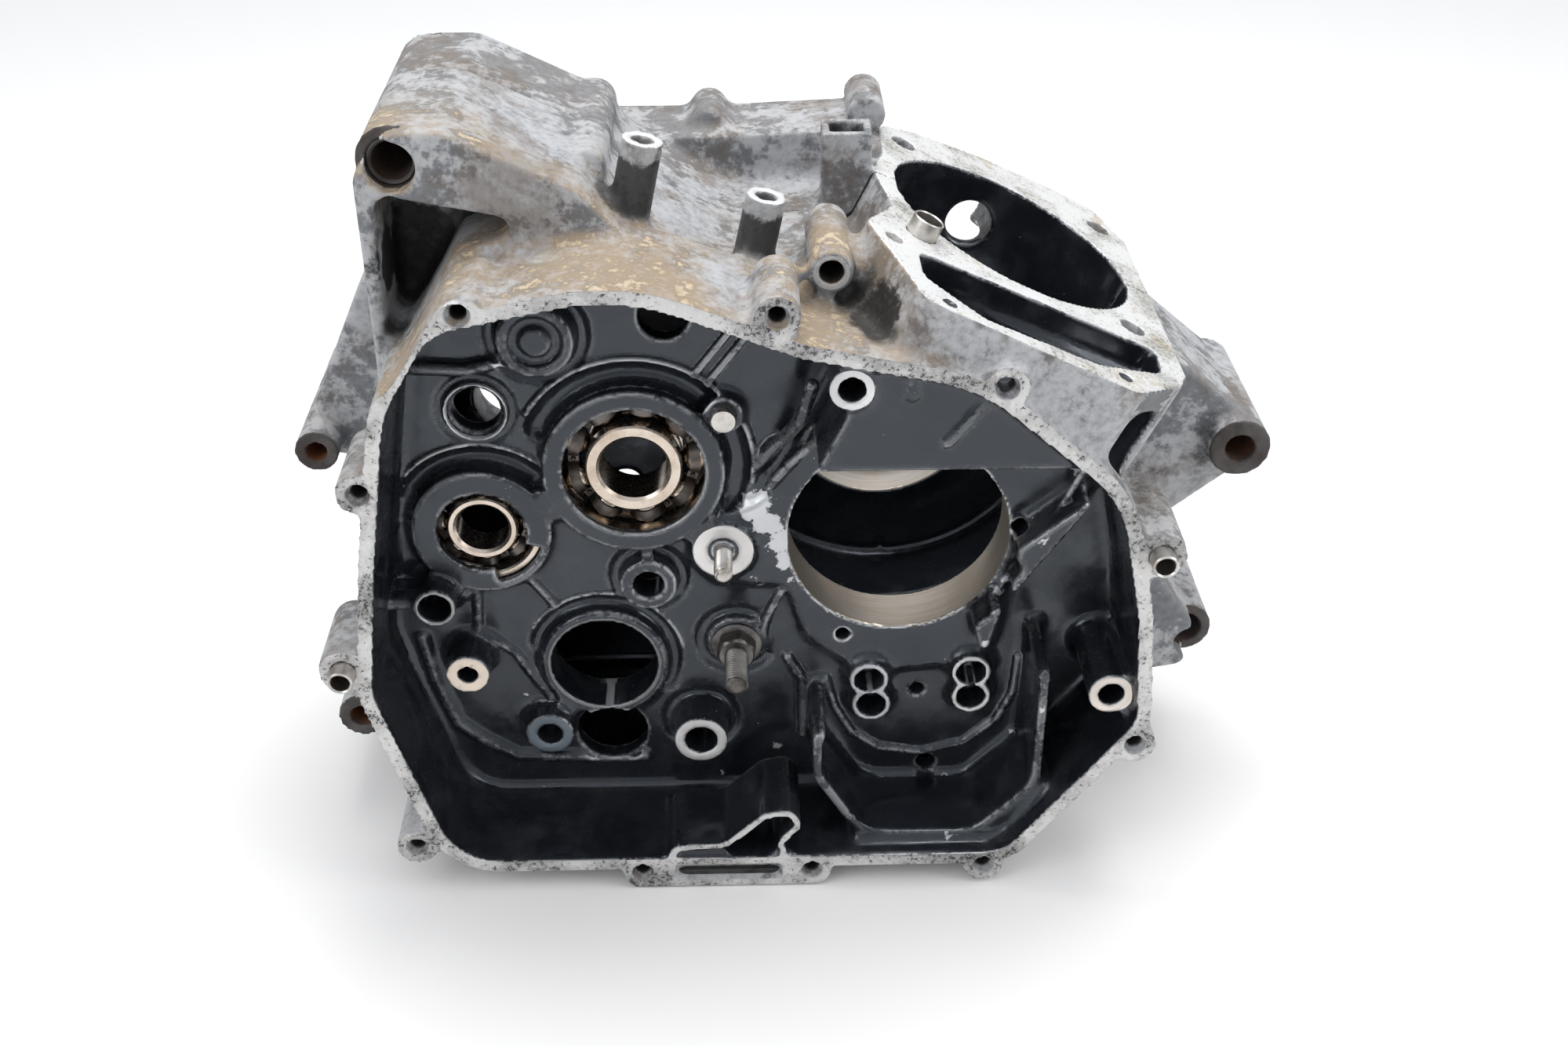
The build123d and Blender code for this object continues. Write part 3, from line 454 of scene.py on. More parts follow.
def makeSteel(name, bright, dark, rough, grime=0.5):
    # plain turned steel with stains, and painted shade in its hollows
    s = Sheet(name)
    cloud = s.noise(120.0, 5.0, 0.6, shift=0.4)
    fine = s.noise(900.0, 4.0, 0.6)
    colour = s.mix(cloud.between(0.4, 0.72), bright, dark)
    # painted shade: darker in hollows and tight corners, scaled by the grime amount
    hollowShade = s.corner(2.0 * mm)
    soilAndShade = (hollowShade * 1.1 + cloud * 0.5).between(0.55, 0.95)
    colour = s.mix(soilAndShade * grime, colour, (0.02, 0.018, 0.016))
    return s.set(Base_Color=colour, Roughness=fine * 0.16 + cloud * 0.1 + rough, Metallic=1.0,
                 Normal=s.bump(fine, 0.015 * mm))


enamel = makeEnamel(enamelLook)
paint = makePaint(paintLook)
lugMetal = makeRust("lug_steel", rustLook, 0.7)
ringMetal = makeSteel("bearing_ring_steel", (0.66, 0.58, 0.50), (0.50, 0.41, 0.33), 0.14, 0.2)
ballMetal = makeSteel("ball_steel", (0.62, 0.55, 0.48), (0.40, 0.32, 0.25), 0.05, 0.3)
cageMetal = makeSteel("cage_steel", (0.17, 0.15, 0.135), (0.07, 0.06, 0.055), 0.30, 0.5)
platedMetal = makeSteel("plated_steel", (0.62, 0.60, 0.57), (0.34, 0.30, 0.26), 0.22, 0.6)
darkMetal = makeSteel("dark_steel", (0.20, 0.19, 0.18), (0.06, 0.055, 0.05), 0.32, 0.6)
screenCloth = makeSteel("strainer_mesh", (0.10, 0.10, 0.10), (0.03, 0.03, 0.03), 0.5, 0.6)
tell("finishes made")

# Outlines shared with the solids

cavityCorners = [
    (-137, 92, 16), (-84, 103, 60), (-33, 83, 24), (18, 72.5, 50), (63, 34, 40),
    (72, -8, 60), (76, -50, 14), (36, -105, 14), (-148, -105, 20), (-168, -34, 22),
    (-162, 12, 40), (-153, 66, 40),
]
roomCorners = [
    (-130, 92, 14), (-86, 97, 20), (-54, 82, 30), (-20, 80, 8), (0, 0, 4), (62, -44, 8),
    (32, -112, 20), (-146, -112, 20), (-162, -40, 30), (-156, 30, 60), (-147, 72, 20),
]
generatorCorners = [
    (-106, 98, 14), (-60, 98, 40), (-14, 100, 10), (0, 82, 16), (50, 50, 40), (66, 0, 50),
    (58, -56, 30), (16, -96, 30), (-56, -100, 30), (-104, -40, 40), (-112, 40, 60),
]
coverBolts = [
    (-128.8, 98.0), (-40.0, 96.1), (26.0, 73.2), (-163.5, 40.2), (-160.9, -98.0),
    (-86.0, -111.4), (-28.6, -111.4), (29.8, -110.6), (76.5, -59.2),
]
coverDowels = [(-176.0, -24.5), (77.0, 14.5)]
# bosses on the back wall: x, z, radius, hole, face
wallBosses = [
    (-112.2, 72.7, 12.0, 0.0, -3.0), (-56.9, -3.1, 10.4, 3.0, -3.0), (-81.5, -16.0, 9.5, 5.2, -3.0),
    (-150.2, -17.8, 7.0, 5.4, -12.0), (-142.0, -44.6, 7.4, 3.3, -12.0), (-117.4, -75.0, 8.4, 4.3, -6.0),
    (-65.7, -75.5, 9.3, 5.6, -10.0), (-53.2, -42.0, 9.6, 4.0, 0.0), (-8.4, -55.5, 7.0, 5.0, -4.0),
    (-7.4, -66.0, 7.0, 5.0, -4.0), (26.2, -53.0, 7.0, 5.0, -4.0), (26.6, -63.2, 7.0, 5.0, -4.0),
    (68.2, -43.0, 7.6, 4.3, -30.0), (-18.4, 71.5, 6.9, 4.1, -33.0), (-56.0, 45.7, 6.5, 2.5, -1.0),
]
wallHoles = [
    (-73.6, 78.2, 7.8), (-132.7, 47.1, 7.7), (-96.7, -80.3, 12.3), (39.2, 3.4, 2.8),
    (-17.5, -38.8, 2.6), (8.7, -64.5, 2.7), (13.0, -97.0, 3.5),
]
lugs = [  # x, z, radius, hole, front, back
    (-150.0, 127.0, 10.6, 7.6, 6.0, 92.0), (-186.0, 28.0, 7.0, 3.4, 11.0, 77.0),
    (-186.0, -83.0, 8.5, 4.3, 16.0, 80.0), (113.0, 20.6, 10.2, 5.0, 18.0, 79.0),
    (108.0, -63.0, 9.5, 6.0, 34.0, 72.0),
]


def roundedOutline(corners, steps=6):
    # points of a closed outline with every corner rounded, as in the solids
    pts = [np.array(c[:2], float) for c in corners]
    line = []
    for i, corner in enumerate(corners):
        back = pts[i - 1] - pts[i]
        ahead = pts[(i + 1) % len(pts)] - pts[i]
        backLength = np.linalg.norm(back)
        aheadLength = np.linalg.norm(ahead)
        back = back / backLength
        ahead = ahead / aheadLength
        half = math.acos(np.clip(back @ ahead, -1, 1)) / 2
        reach = min(corner[2] / math.tan(half), 0.48 * backLength, 0.48 * aheadLength)
        start = pts[i] + back * reach
        end = pts[i] + ahead * reach
        for step in range(steps + 1):
            t = step / steps
            line.append((1 - t) ** 2 * start + 2 * t * (1 - t) * pts[i] + t ** 2 * end)
    return np.array(line)


def insideOutline(line, x, z):
    # even-odd test for many points at once
    found = np.zeros(x.shape, bool)
    for a, b in zip(line, np.roll(line, -1, axis=0)):
        cross = (a[1] > z) != (b[1] > z)
        if abs(b[1] - a[1]) > 1e-9:
            found ^= cross & (x < (b[0] - a[0]) * (z - a[1]) / (b[1] - a[1]) + a[0])
    return found


def outlineDistance(line, x, z):
    # signed distance to a closed outline in X-Z, negative inside
    best = np.full(np.broadcast(x, z).shape, 1e9)
    for a, b in zip(line, np.roll(line, -1, axis=0)):
        run = b - a
        t = np.clip(((x - a[0]) * run[0] + (z - a[1]) * run[1]) / max(run @ run, 1e-12), 0, 1)
        best = np.minimum(best, np.hypot(x - a[0] - t * run[0], z - a[1] - t * run[1]))
    return np.where(insideOutline(line, x, z), -best, best)


# Castings

castLook = {
    "cell": 0.8,            # grid size in millimetres
    "quickCell": 1.5,
    "fillet": 2.4,          # radius that fills the inner corners
    "soften": 3,            # passes that round the outer edges
    "triangles": 190000,
}


class Clay:
    # signed distances in millimetres on a grid round one casting
    def __init__(self, node, cell, reach):
        mesh = nodes[node].data
        mesh.calc_loop_triangles()
        points = np.empty(len(mesh.vertices) * 3, np.float32)
        mesh.vertices.foreach_get("co", points)
        points = points.reshape(-1, 3) * 1000
        faces = np.empty(len(mesh.loop_triangles) * 3, np.int32)
        mesh.loop_triangles.foreach_get("vertices", faces)
        self.cell = cell
        self.reach = reach
        self.low = points.min(0)
        self.high = points.max(0)
        pad = reach + 3 * cell
        self.corner = np.floor((self.low - pad) / cell).astype(int)
        self.size = np.ceil((self.high + pad) / cell).astype(int) - self.corner
        self.map = vdb.createLinearTransform(voxelSize=cell)
        self.grid = self.measure(points, faces.reshape(-1, 3))
        self.field = self.read(self.grid)

    def measure(self, points, triangles, quads=None):
        extra = {} if quads is None or not len(quads) else {"quads": quads}
        return vdb.FloatGrid.createLevelSetFromPolygons(
            points, triangles=triangles, transform=self.map, halfWidth=self.reach / self.cell, **extra)

    def read(self, grid):
        values = np.empty(self.size, np.float32)
        grid.copyToArray(values, ijk=tuple(int(v) for v in self.corner))
        return values

    def closed(self, radius):
        # grown by the radius and shrunk again, which fills inner corners with fillets
        points, triangles, quads = self.grid.convertToPolygons(isovalue=radius, adaptivity=0.0)
        return self.read(self.measure(points, triangles, quads)) + radius

    def block(self, low, high):
        # the part of the grid in a box, and its coordinates
        first = np.clip(np.floor(np.array(low) / self.cell).astype(int) - self.corner, 0, self.size)
        last = np.clip(np.ceil(np.array(high) / self.cell).astype(int) - self.corner + 1, 0, self.size)
        part = tuple(slice(a, b) for a, b in zip(first, last))
        axes = [(np.arange(a, b) + c) * self.cell for a, b, c in zip(first, last, self.corner)]
        x, y, z = np.meshgrid(*[v.astype(np.float32) for v in axes], indexing="ij", sparse=True)
        return part, x, y, z


def blur(values, passes):
    # light smoothing along each axis
    for _ in range(passes):
        for axis in range(3):
            moved = values.copy()
            inner = [slice(None)] * 3
            inner[axis] = slice(1, -1)
            back = list(inner)
            back[axis] = slice(0, -2)
            ahead = list(inner)
            ahead[axis] = slice(2, None)
            sides = values[tuple(back)] + values[tuple(ahead)]
            moved[tuple(inner)] = 0.5 * values[tuple(inner)] + 0.25 * sides
            values = moved
    return values


def softUnion(a, b, k):
    h = np.maximum(k - np.abs(a - b), 0) / k
    return np.minimum(a, b) - h * h * k * 0.25


def softCut(a, b, k):
    return -softUnion(-a, b, k)


def deckAxes(x, y, z):
    # along the slope, across, and height over the crank axis towards the cylinder
    s = x * math.cos(deckLean) - z * math.sin(deckLean)
    h = x * math.sin(deckLean) + z * math.cos(deckLean)
    return s, y - partingY, h


def rope(x, y, z, points, radius):
    # distance to a rounded rib along a chain of points
    best = None
    for a, b in zip(points, points[1:]):
        a = np.array(a, np.float32)
        run = np.array(b, np.float32) - a
        dx, dy, dz = x - a[0], y - a[1], z - a[2]
        t = np.clip((dx * run[0] + dy * run[1] + dz * run[2]) / (run @ run), 0, 1)
        d = np.sqrt((dx - t * run[0]) ** 2 + (dy - t * run[1]) ** 2 + (dz - t * run[2]) ** 2)
        best = d if best is None else np.minimum(best, d)
    return best - radius


def hoop(x, y, z, centre, radius, depth, tube, start, end):
    # distance to a round groove or ridge about an axis along Y, from one angle to another
    away = np.hypot(x - centre[0], z - centre[1])
    angle = (np.degrees(np.arctan2(z - centre[1], x - centre[0])) - start) % 360
    past = np.minimum(np.maximum(angle - (end - start), 0), 360 - angle) * np.radians(1.0) * radius
    past = np.where(angle > end - start, past, 0)
    return np.hypot(away - radius, y - depth) - tube + past


clutchRelief = {
    # rounded ribs and bumps: radius, softness, then points
    "ribs": [
        (1.2, 1.0, [(-66.0, 1.6, 57.5), (-50.5, 1.6, 77.8)]),
        (1.2, 1.0, [(-61.6, 1.6, 55.0), (-46.2, 1.6, 75.0)]),
        (2.3, 3.0, [(-29.0, -12.0, 62.0), (-32.5, -8.0, 48.0), (-37.0, -2.0, 38.5), (-42.5, 1.5, 31.0),
                    (-49.0, 2.0, 24.0)]),
        (1.5, 2.0, [(-24.5, -12.0, 45.0), (-29.0, -3.0, 36.0), (-36.0, -0.5, 27.5), (-42.0, -0.5, 20.0)]),
        (2.4, 1.5, [(-1.3, -30.4, 75.5), (-0.7, -30.4, 69.0)]),
        (1.7, 1.6, [(21.6, -30.0, 67.0), (10.3, -30.8, 52.8)]),
        (2.6, 2.0, [(49.5, -29.6, 49.0), (50.5, -29.6, 47.5)]),
        (1.1, 1.2, [(57.0, -5.0, 27.0), (48.5, -5.0, 7.5), (39.9, -5.0, -7.8), (34.2, -5.0, -14.4)]),
        (1.2, 1.2, [(-22.9, 2.0, -58.5), (-19.5, 2.0, -71.0), (-13.5, 2.0, -82.3), (-3.9, 2.0, -89.4),
                    (11.0, 2.0, -91.8), (26.5, 2.0, -87.5), (36.7, 2.0, -77.7), (41.8, 2.0, -65.5),
                    (42.6, 2.0, -50.5)]),
        (1.2, 1.6, [(-142.0, 2.1, -22.0), (-136.0, 2.1, -16.2), (-121.0, 2.1, -15.0), (-114.9, 2.1, -23.6),
                    (-111.5, 2.1, -29.5)]),
        (1.2, 1.6, [(-138.0, 2.1, -20.0), (-139.3, 2.1, -35.6), (-127.6, 2.1, -45.8), (-121.4, 2.1, -57.4),
                    (-116.0, 2.1, -66.0)]),
        (1.7, 2.4, [(-158.2, 2.0, -39.0), (-155.1, 2.0, -58.1), (-149.6, 2.0, -75.2), (-142.0, 2.0, -82.5),
                    (-130.1, 2.0, -90.4), (-109.1, 2.0, -91.2), (-86.0, 2.0, -91.4)]),
        (1.4, 1.8, [(-36.0, 1.4, -49.0), (-30.8, 1.4, -58.5), (-30.4, 1.4, -82.0)]),
        (1.3, 1.8, [(-38.2, 0.6, -21.6), (-42.5, 1.2, -31.0), (-45.3, 1.6, -40.5)]),
        (2.2, 2.2, [(-169.0, -8.5, -17.4), (-152.0, -8.5, -17.8)]),
        (2.4, 2.2, [(-169.0, -4.0, -17.4), (-152.0, -4.0, -17.8)]),
        (2.6, 2.2, [(-169.0, 0.5, -17.4), (-152.0, 0.5, -17.8)]),
        (2.0, 2.4, [(-118.0, 0.8, 66.0), (-134.0, 1.2, 62.0), (-150.0, 1.4, 63.0)]),
    ],
    # round grooves in the back wall: centre, radius, y, tube radius, softness, and the
    # start and end angle where one doesn't go all round
    "grooves": [
        (mainAxis, 33.0, 1.6, 3.9, 1.4, -24.0, 158.0), (outputAxis, 25.8, 1.6, 3.2, 1.4, 42.0, 150.0),
        (drumAxis, 23.8, 1.9, 2.3, 1.4, -30.0, 165.0), ((-81.5, -16.0), 11.4, 1.9, 2.0, 1.2),
        ((-112.2, 72.7), 14.4, 1.9, 2.0, 1.4), ((-132.7, 47.1), 11.5, 2.0, 1.4, 1.2),
        ((-65.7, -75.5), 11.6, 1.9, 1.9, 1.4), ((-53.2, -42.0), 12.0, 2.0, 1.9, 1.6, 60.0, 330.0),
    ],
    # ridges beside them, in the same order of values
    "ridges": [
        (mainAxis, 37.6, 2.2, 1.1, 1.6, -10.0, 150.0), (outputAxis, 29.6, 2.2, 0.9, 1.4, 50.0, 140.0),
        (drumAxis, 26.6, 2.3, 0.8, 1.4, 10.0, 150.0), ((-132.7, 47.1), 9.6, 1.6, 1.0, 1.2),
    ],
    # turned into the faces of bosses
    "turned": [
        ((-112.2, 72.7), 6.6, -3.4, 2.1, 0.5), ((-56.9, -3.1), 4.5, -3.1, 0.9, 0.3),
        ((-81.5, -16.0), 7.4, -3.3, 0.7, 0.4), ((-53.2, -42.0), 9.0, 0.2, 0.6, 0.3),
    ],
}
brokenLip = {"start": -78.0, "end": -18.0, "radius": 19.6, "front": -0.05}


def sculpt(clay, cast, relief):
    # adds the soft ribs and grooves of the cavity wall, which the solids leave out
    for radius, soft, points in relief["ribs"]:
        margin = radius + soft + 2.0
        part, x, y, z = clay.block(np.min(points, 0) - margin, np.max(points, 0) + margin)
        cast[part] = softUnion(cast[part], rope(x, y, z, points, radius), soft)
    for kind, change in (("ridges", softUnion), ("grooves", softCut)):
        for spec in relief[kind]:
            carve(clay, cast, change, *spec)


def carve(clay, cast, change, centre, radius, depth, tube, soft, start=0.0, end=360.0):
    # adds or cuts one ridge or groove
    out = radius + tube + soft + 2.0
    part, x, y, z = clay.block((centre[0] - out, depth - tube - soft - 2, centre[1] - out),
                               (centre[0] + out, depth + tube + soft + 2, centre[1] + out))
    shape = hoop(x, y, z, centre, radius, depth, tube, start, end)
    cast[part] = change(cast[part], shape, soft)


def boreOut(clay, cast, spec):
    # opens a round hole along Y again, where the smoothing closed it
    x0, z0, radius = spec["x"], spec["z"], spec["hole"]
    y0, y1 = spec["front"] - 2, spec["drilled"]
    out = radius + 2
    part, x, y, z = clay.block((x0 - out, y0 - 2, z0 - out), (x0 + out, y1 + 2, z0 + out))
    shape = np.maximum(np.hypot(x - x0, z - z0) - radius, np.abs(y - (y0 + y1) / 2) - (y1 - y0) / 2)
    cast[part] = softCut(cast[part], shape, 0.4)


def breakLip(clay, cast, spec):
    # the missing stretch of the lip in front of the small bearing
    cx, cz = outputAxis
    part, x, y, z = clay.block((cx - 26, -5, cz - 26), (cx + 26, 2, cz + 26))
    angle = (np.degrees(np.arctan2(z - cz, x - cx)) - spec["start"]) % 360
    width = spec["end"] - spec["start"]
    ends = np.maximum(-angle, angle - width)
    ends = np.where(angle > 180 + width / 2, 360 - angle, ends) * np.radians(1.0) * spec["radius"]
    shape = np.maximum(np.maximum(np.hypot(x - cx, z - cz) - spec["radius"], y - spec["front"]), ends)
    cast[part] = softCut(cast[part], shape, 0.6)


def keepSharp(clay):
    # 1 where the solids' own edges stay: joint faces, seats, boss faces and holes
    keep = np.zeros(clay.size, np.float32)

    def mark(low, high, test):
        part, x, y, z = clay.block(low, high)
        keep[part] = np.maximum(keep[part], np.clip(test(x, y, z), 0, 1))

    def tube(x0, z0, radius, y0, y1):
        mark((x0 - radius - 1, y0, z0 - radius - 1), (x0 + radius + 1, y1, z0 + radius + 1),
             lambda x, y, z: radius + 0.5 - np.hypot(x - x0, z - z0) + 0 * y)

    low, high = clay.low, clay.high
    # the two cover joints, the deck and the foot, then the bosses and holes
    mark(low - 5, (high[0] + 5, -34.8, high[2] + 5),
         lambda x, y, z: (-34.9 - y) / 0.8 + 0 * x + 0 * z)
    mark((low[0] - 5, high[1] - 1.6, low[2] - 5), high + 5,
         lambda x, y, z: (y - high[1] + 1.4) / 0.8 + 0 * x + 0 * z)
    mark((-60, -60, 20), (110, 140, 140),
         lambda x, y, z: (deckAxes(x, y, z)[2] - 89.0) / 0.8)
    mark(low - 5, (high[0] + 5, high[1] + 5, low[2] + 1.2),
         lambda x, y, z: (low[2] + 1.6 - z) / 0.8 + 0 * x + 0 * y)
    tube(roofBolt["x"], roofBolt["z"], 6.6, roofBolt["front"] - 2, roofBolt["front"] + 0.8)
    lean = (math.sin(roofBossLean), math.cos(roofBossLean))
    for x0, z0 in roofBosses:
        mark((x0 - 9, roofBossY - 9, z0 - 9), (x0 + 9, roofBossY + 9, z0 + 9),
             lambda x, y, z: ((x - x0) * lean[0] + (z - z0) * lean[1] + 1.2) / 0.8 + 0 * y)
    tube(0, 0, 37.0, -3, 21)
    tube(0, 0, 37.0, 85, 106)
    tube(*mainAxis, 29.2, -3.5, 20)
    tube(*outputAxis, 22.8, -3.5, 16)
    tube(*drumAxis, 19.0, -3, 12)
    for x, z, radius, hole, face in wallBosses:
        tube(x, z, radius, face - 2, face + 0.8)
        if hole:
            tube(x, z, hole + 1.0, face - 2, 20)
    for x, z, radius in wallHoles:
        tube(x, z, radius + 1.0, -6, 22)
    for x, z in coverBolts + coverDowels:
        tube(x, z, 5.0, -38, -18)
    for x, z, radius, hole, front, back in lugs:
        tube(x, z, hole + 1.0, front - 2, back + 2)
        tube(x, z, radius + 0.5, front - 2, front + 1.0)
        tube(x, z, radius + 0.5, back - 1.0, back + 2)
    return keep


def toMesh(name, clay, values, limit):
    grid = vdb.FloatGrid(clay.reach)
    grid.transform = clay.map
    grid.copyFromArray(np.ascontiguousarray(values), ijk=tuple(int(v) for v in clay.corner))
    points, triangles, quads = grid.convertToPolygons(isovalue=0.0, adaptivity=0.0)
    points = np.clip(points, clay.low, clay.high) * mm
    mesh = bpy.data.meshes.new(name)
    faces = [q for q in (triangles, quads) if len(q)]
    mesh.from_pydata(points.tolist(), [], [f for block in faces for f in block.tolist()])
    obj = show(bpy.data.objects.new(name, mesh))
    count = 2 * len(quads) + len(triangles)
    tell(f"{name}: {count} triangles before thinning")
    if count > limit:
        thin = obj.modifiers.new("thin", "DECIMATE")
        thin.ratio = limit / count
        apply(obj)
    return obj


def apply(obj):
    # replaces the mesh by its evaluated shape, so no modifier is left
    shape = bpy.data.meshes.new_from_object(obj.evaluated_get(bpy.context.evaluated_depsgraph_get()))
    old = obj.data
    obj.modifiers.clear()
    obj.data = shape
    bpy.data.meshes.remove(old)


def smoothCasting(node, look):
    cell = look["cell"]
    clay = Clay(node, cell, look["fillet"] + 3 * cell)
    closed = clay.closed(look["fillet"])
    tell(f"{node}: fillets measured")
    keep = keepSharp(clay)
    cast = blur(np.minimum(clay.field, closed), look["soften"])
    if node == "case_clutch_side":
        sculpt(clay, cast, clutchRelief)
    values = clay.field * keep + cast * (1 - keep)
    if node == "case_clutch_side":
        for turned in clutchRelief["turned"]:
            carve(clay, values, softCut, *turned)
        breakLip(clay, values, brokenLip)
        boreOut(clay, values, roofBolt)
    return toMesh(node + "_cast", clay, values, look["triangles"] // (1))


zoneLook = {  # reach of the black enamel, in millimetres
    "wall": 3.5, "chamberRadius": 64, "chamberEnd": 87, "boreRadius": 43.6, "boreFoot": 30, "deckTop": 90.4,
    "tunnelAlong": (-41, 44.5), "tunnelAcross": (-84, -48), "tunnelFoot": 28, "generator": (93, 117.6),
}


def zones(mesh, look):
    # which finish each face of a casting gets: 0 paint, 1 enamel, 2 lug steel
    centre = np.empty(len(mesh.polygons) * 3, np.float32)
    mesh.polygons.foreach_get("center", centre)
    x, y, z = (centre.reshape(-1, 3) * 1000).T
    s, t, h = deckAxes(x, y, z)
    zone = np.zeros(len(x), np.int32)
    back, top = look["chamberEnd"], look["deckTop"]
    s0, s1 = look["tunnelAlong"]
    t0, t1 = look["tunnelAcross"]
    y0, y1 = look["generator"]
    inner = (outlineDistance(roundedOutline(cavityCorners), x, z) < 1.0) & (y < look["wall"])
    inner |= (outlineDistance(roundedOutline(roomCorners), x, z) < 1.0) & (y > 3) & (y < back)
    inner |= (np.hypot(x, z) < look["chamberRadius"]) & (y > -1) & (y < back)
    inner |= (np.hypot(s, t) < look["boreRadius"]) & (h > look["boreFoot"]) & (h < top)
    inner |= (s > s0) & (s < s1) & (t < t1) & (t > t0) & (h > look["tunnelFoot"]) & (h < top)
    for ax, az, radius in [(*mainAxis, 29), (*outputAxis, 21), (*drumAxis, 19)]:
        inner |= (np.hypot(x - ax, z - az) < radius) & (y < 60)
    inner |= (outlineDistance(roundedOutline(generatorCorners), x, z) < 0.6) & (y > y0) & (y < y1)
    zone[inner] = 1
    for lx, lz, radius, hole, front, back in lugs:
        spot = np.hypot(x - lx, z - lz)
        zone[(spot < radius + 0.6) & ((np.abs(y - front) < 0.8) | (np.abs(y - back) < 0.8))] = 2
        zone[(spot < hole + 0.8) & (y > front - 1) & (y < back + 1)] = 2
    return zone


def dressCasting(obj, node, body):
    for finish in (paint, enamel, lugMetal):
        obj.data.materials.append(finish)
    obj.data.polygons.foreach_set("material_index", zones(obj.data, zoneLook))
    obj.data.shade_smooth()
    crisp = obj.modifiers.new("crisp", "WEIGHTED_NORMAL")
    crisp.weight = 60
    apply(obj)
    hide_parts(node)
    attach(obj, body)
    tell(f"{obj.name}: {len(obj.data.polygons)} faces")


for castNode in ("case_clutch_side", "case_flywheel_side"):
    dressCasting(smoothCasting(castNode, castLook), castNode, "case")

# Turned pieces


def meshPiece(name, bm, material, body, replaced, smooth=35.0):
    mesh = bpy.data.meshes.new(name)
    bmesh.ops.recalc_face_normals(bm, faces=bm.faces)
    bm.to_mesh(mesh)
    bm.free()
    mesh.shade_smooth()
    mesh.set_sharp_from_angle(angle=math.radians(smooth))
    mesh.materials.append(material)
    obj = show(bpy.data.objects.new(name, mesh))
    if replaced:
        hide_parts(*replaced)
    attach(obj, body)
    return obj


def turns(count, shift=0.0):
    # even steps of angle round a full turn
    return [2 * math.pi * (i + shift) / count for i in range(count)]


def onRing(bm, centre, radius, angle, y):
    # a new point at an angle round an axis along Y
    x0, z0 = centre
    return bm.verts.new(((x0 + radius * math.cos(angle)) * mm, y * mm, (z0 + radius * math.sin(angle)) * mm))


def skin(bm, pairs):
    # faces between each pair of rings
    for here, there in pairs:
        for j in range(len(here)):
            k = (j + 1) % len(here)
            bm.faces.new((here[j], here[k], there[k], there[j]))


def lathe(bm, profile, centre, segments=96):
    # a closed profile of (radius, y) turned about an axis along Y
    rings = [[onRing(bm, centre, r, a, y) for r, y in profile] for a in turns(segments)]
    skin(bm, zip(rings, rings[1:] + rings[:1]))


# sizes of both ball bearings; the shoulders are radii of the lands beside the balls
mainBearing = {"axis": mainAxis, "bore": 22.0, "od": 56.0, "width": 16.0, "balls": 9, "ball": 9.5,
               "innerShoulder": 15.3, "outerShoulder": 23.3, "body": "main"}
outputBearing = {"axis": outputAxis, "bore": 17.0, "od": 40.0, "width": 12.0, "balls": 8, "ball": 6.75,
                 "innerShoulder": 11.3, "outerShoulder": 17.0, "body": "output"}


def raceProfile(land, back, width, pitch, ballRadius, chamfer):
    # ring section: plain back, two shoulders and a groove for the balls between them
    middle = width / 2
    sign = 1 if land > back else -1
    groove = ballRadius * 1.03
    half = math.sqrt(max(groove ** 2 - (pitch - land) ** 2, 0.01))
    points = [(back, chamfer), (back + sign * chamfer, 0.0),
              (land - sign * chamfer * 0.6, 0.0), (land, chamfer * 0.6)]
    start = math.asin(min(half / groove, 1))
    for i in range(13):
        a = -start + 2 * start * i / 12
        points.append((pitch - sign * groove * math.cos(a), middle + groove * math.sin(a)))
    points += [(land, width - chamfer * 0.6), (land - sign * chamfer * 0.6, width),
               (back + sign * chamfer, width), (back, width - chamfer)]
    return points


def ballAt(bm, centre, pitch, angle, y, radius, detail):
    x0, z0 = centre
    spot = Vector(((x0 + pitch * math.cos(angle)) * mm, y * mm, (z0 - pitch * math.sin(angle)) * mm))
    ball = bmesh.ops.create_icosphere(bm, subdivisions=detail, radius=radius * mm)
    bmesh.ops.translate(bm, verts=ball["verts"], vec=spot)


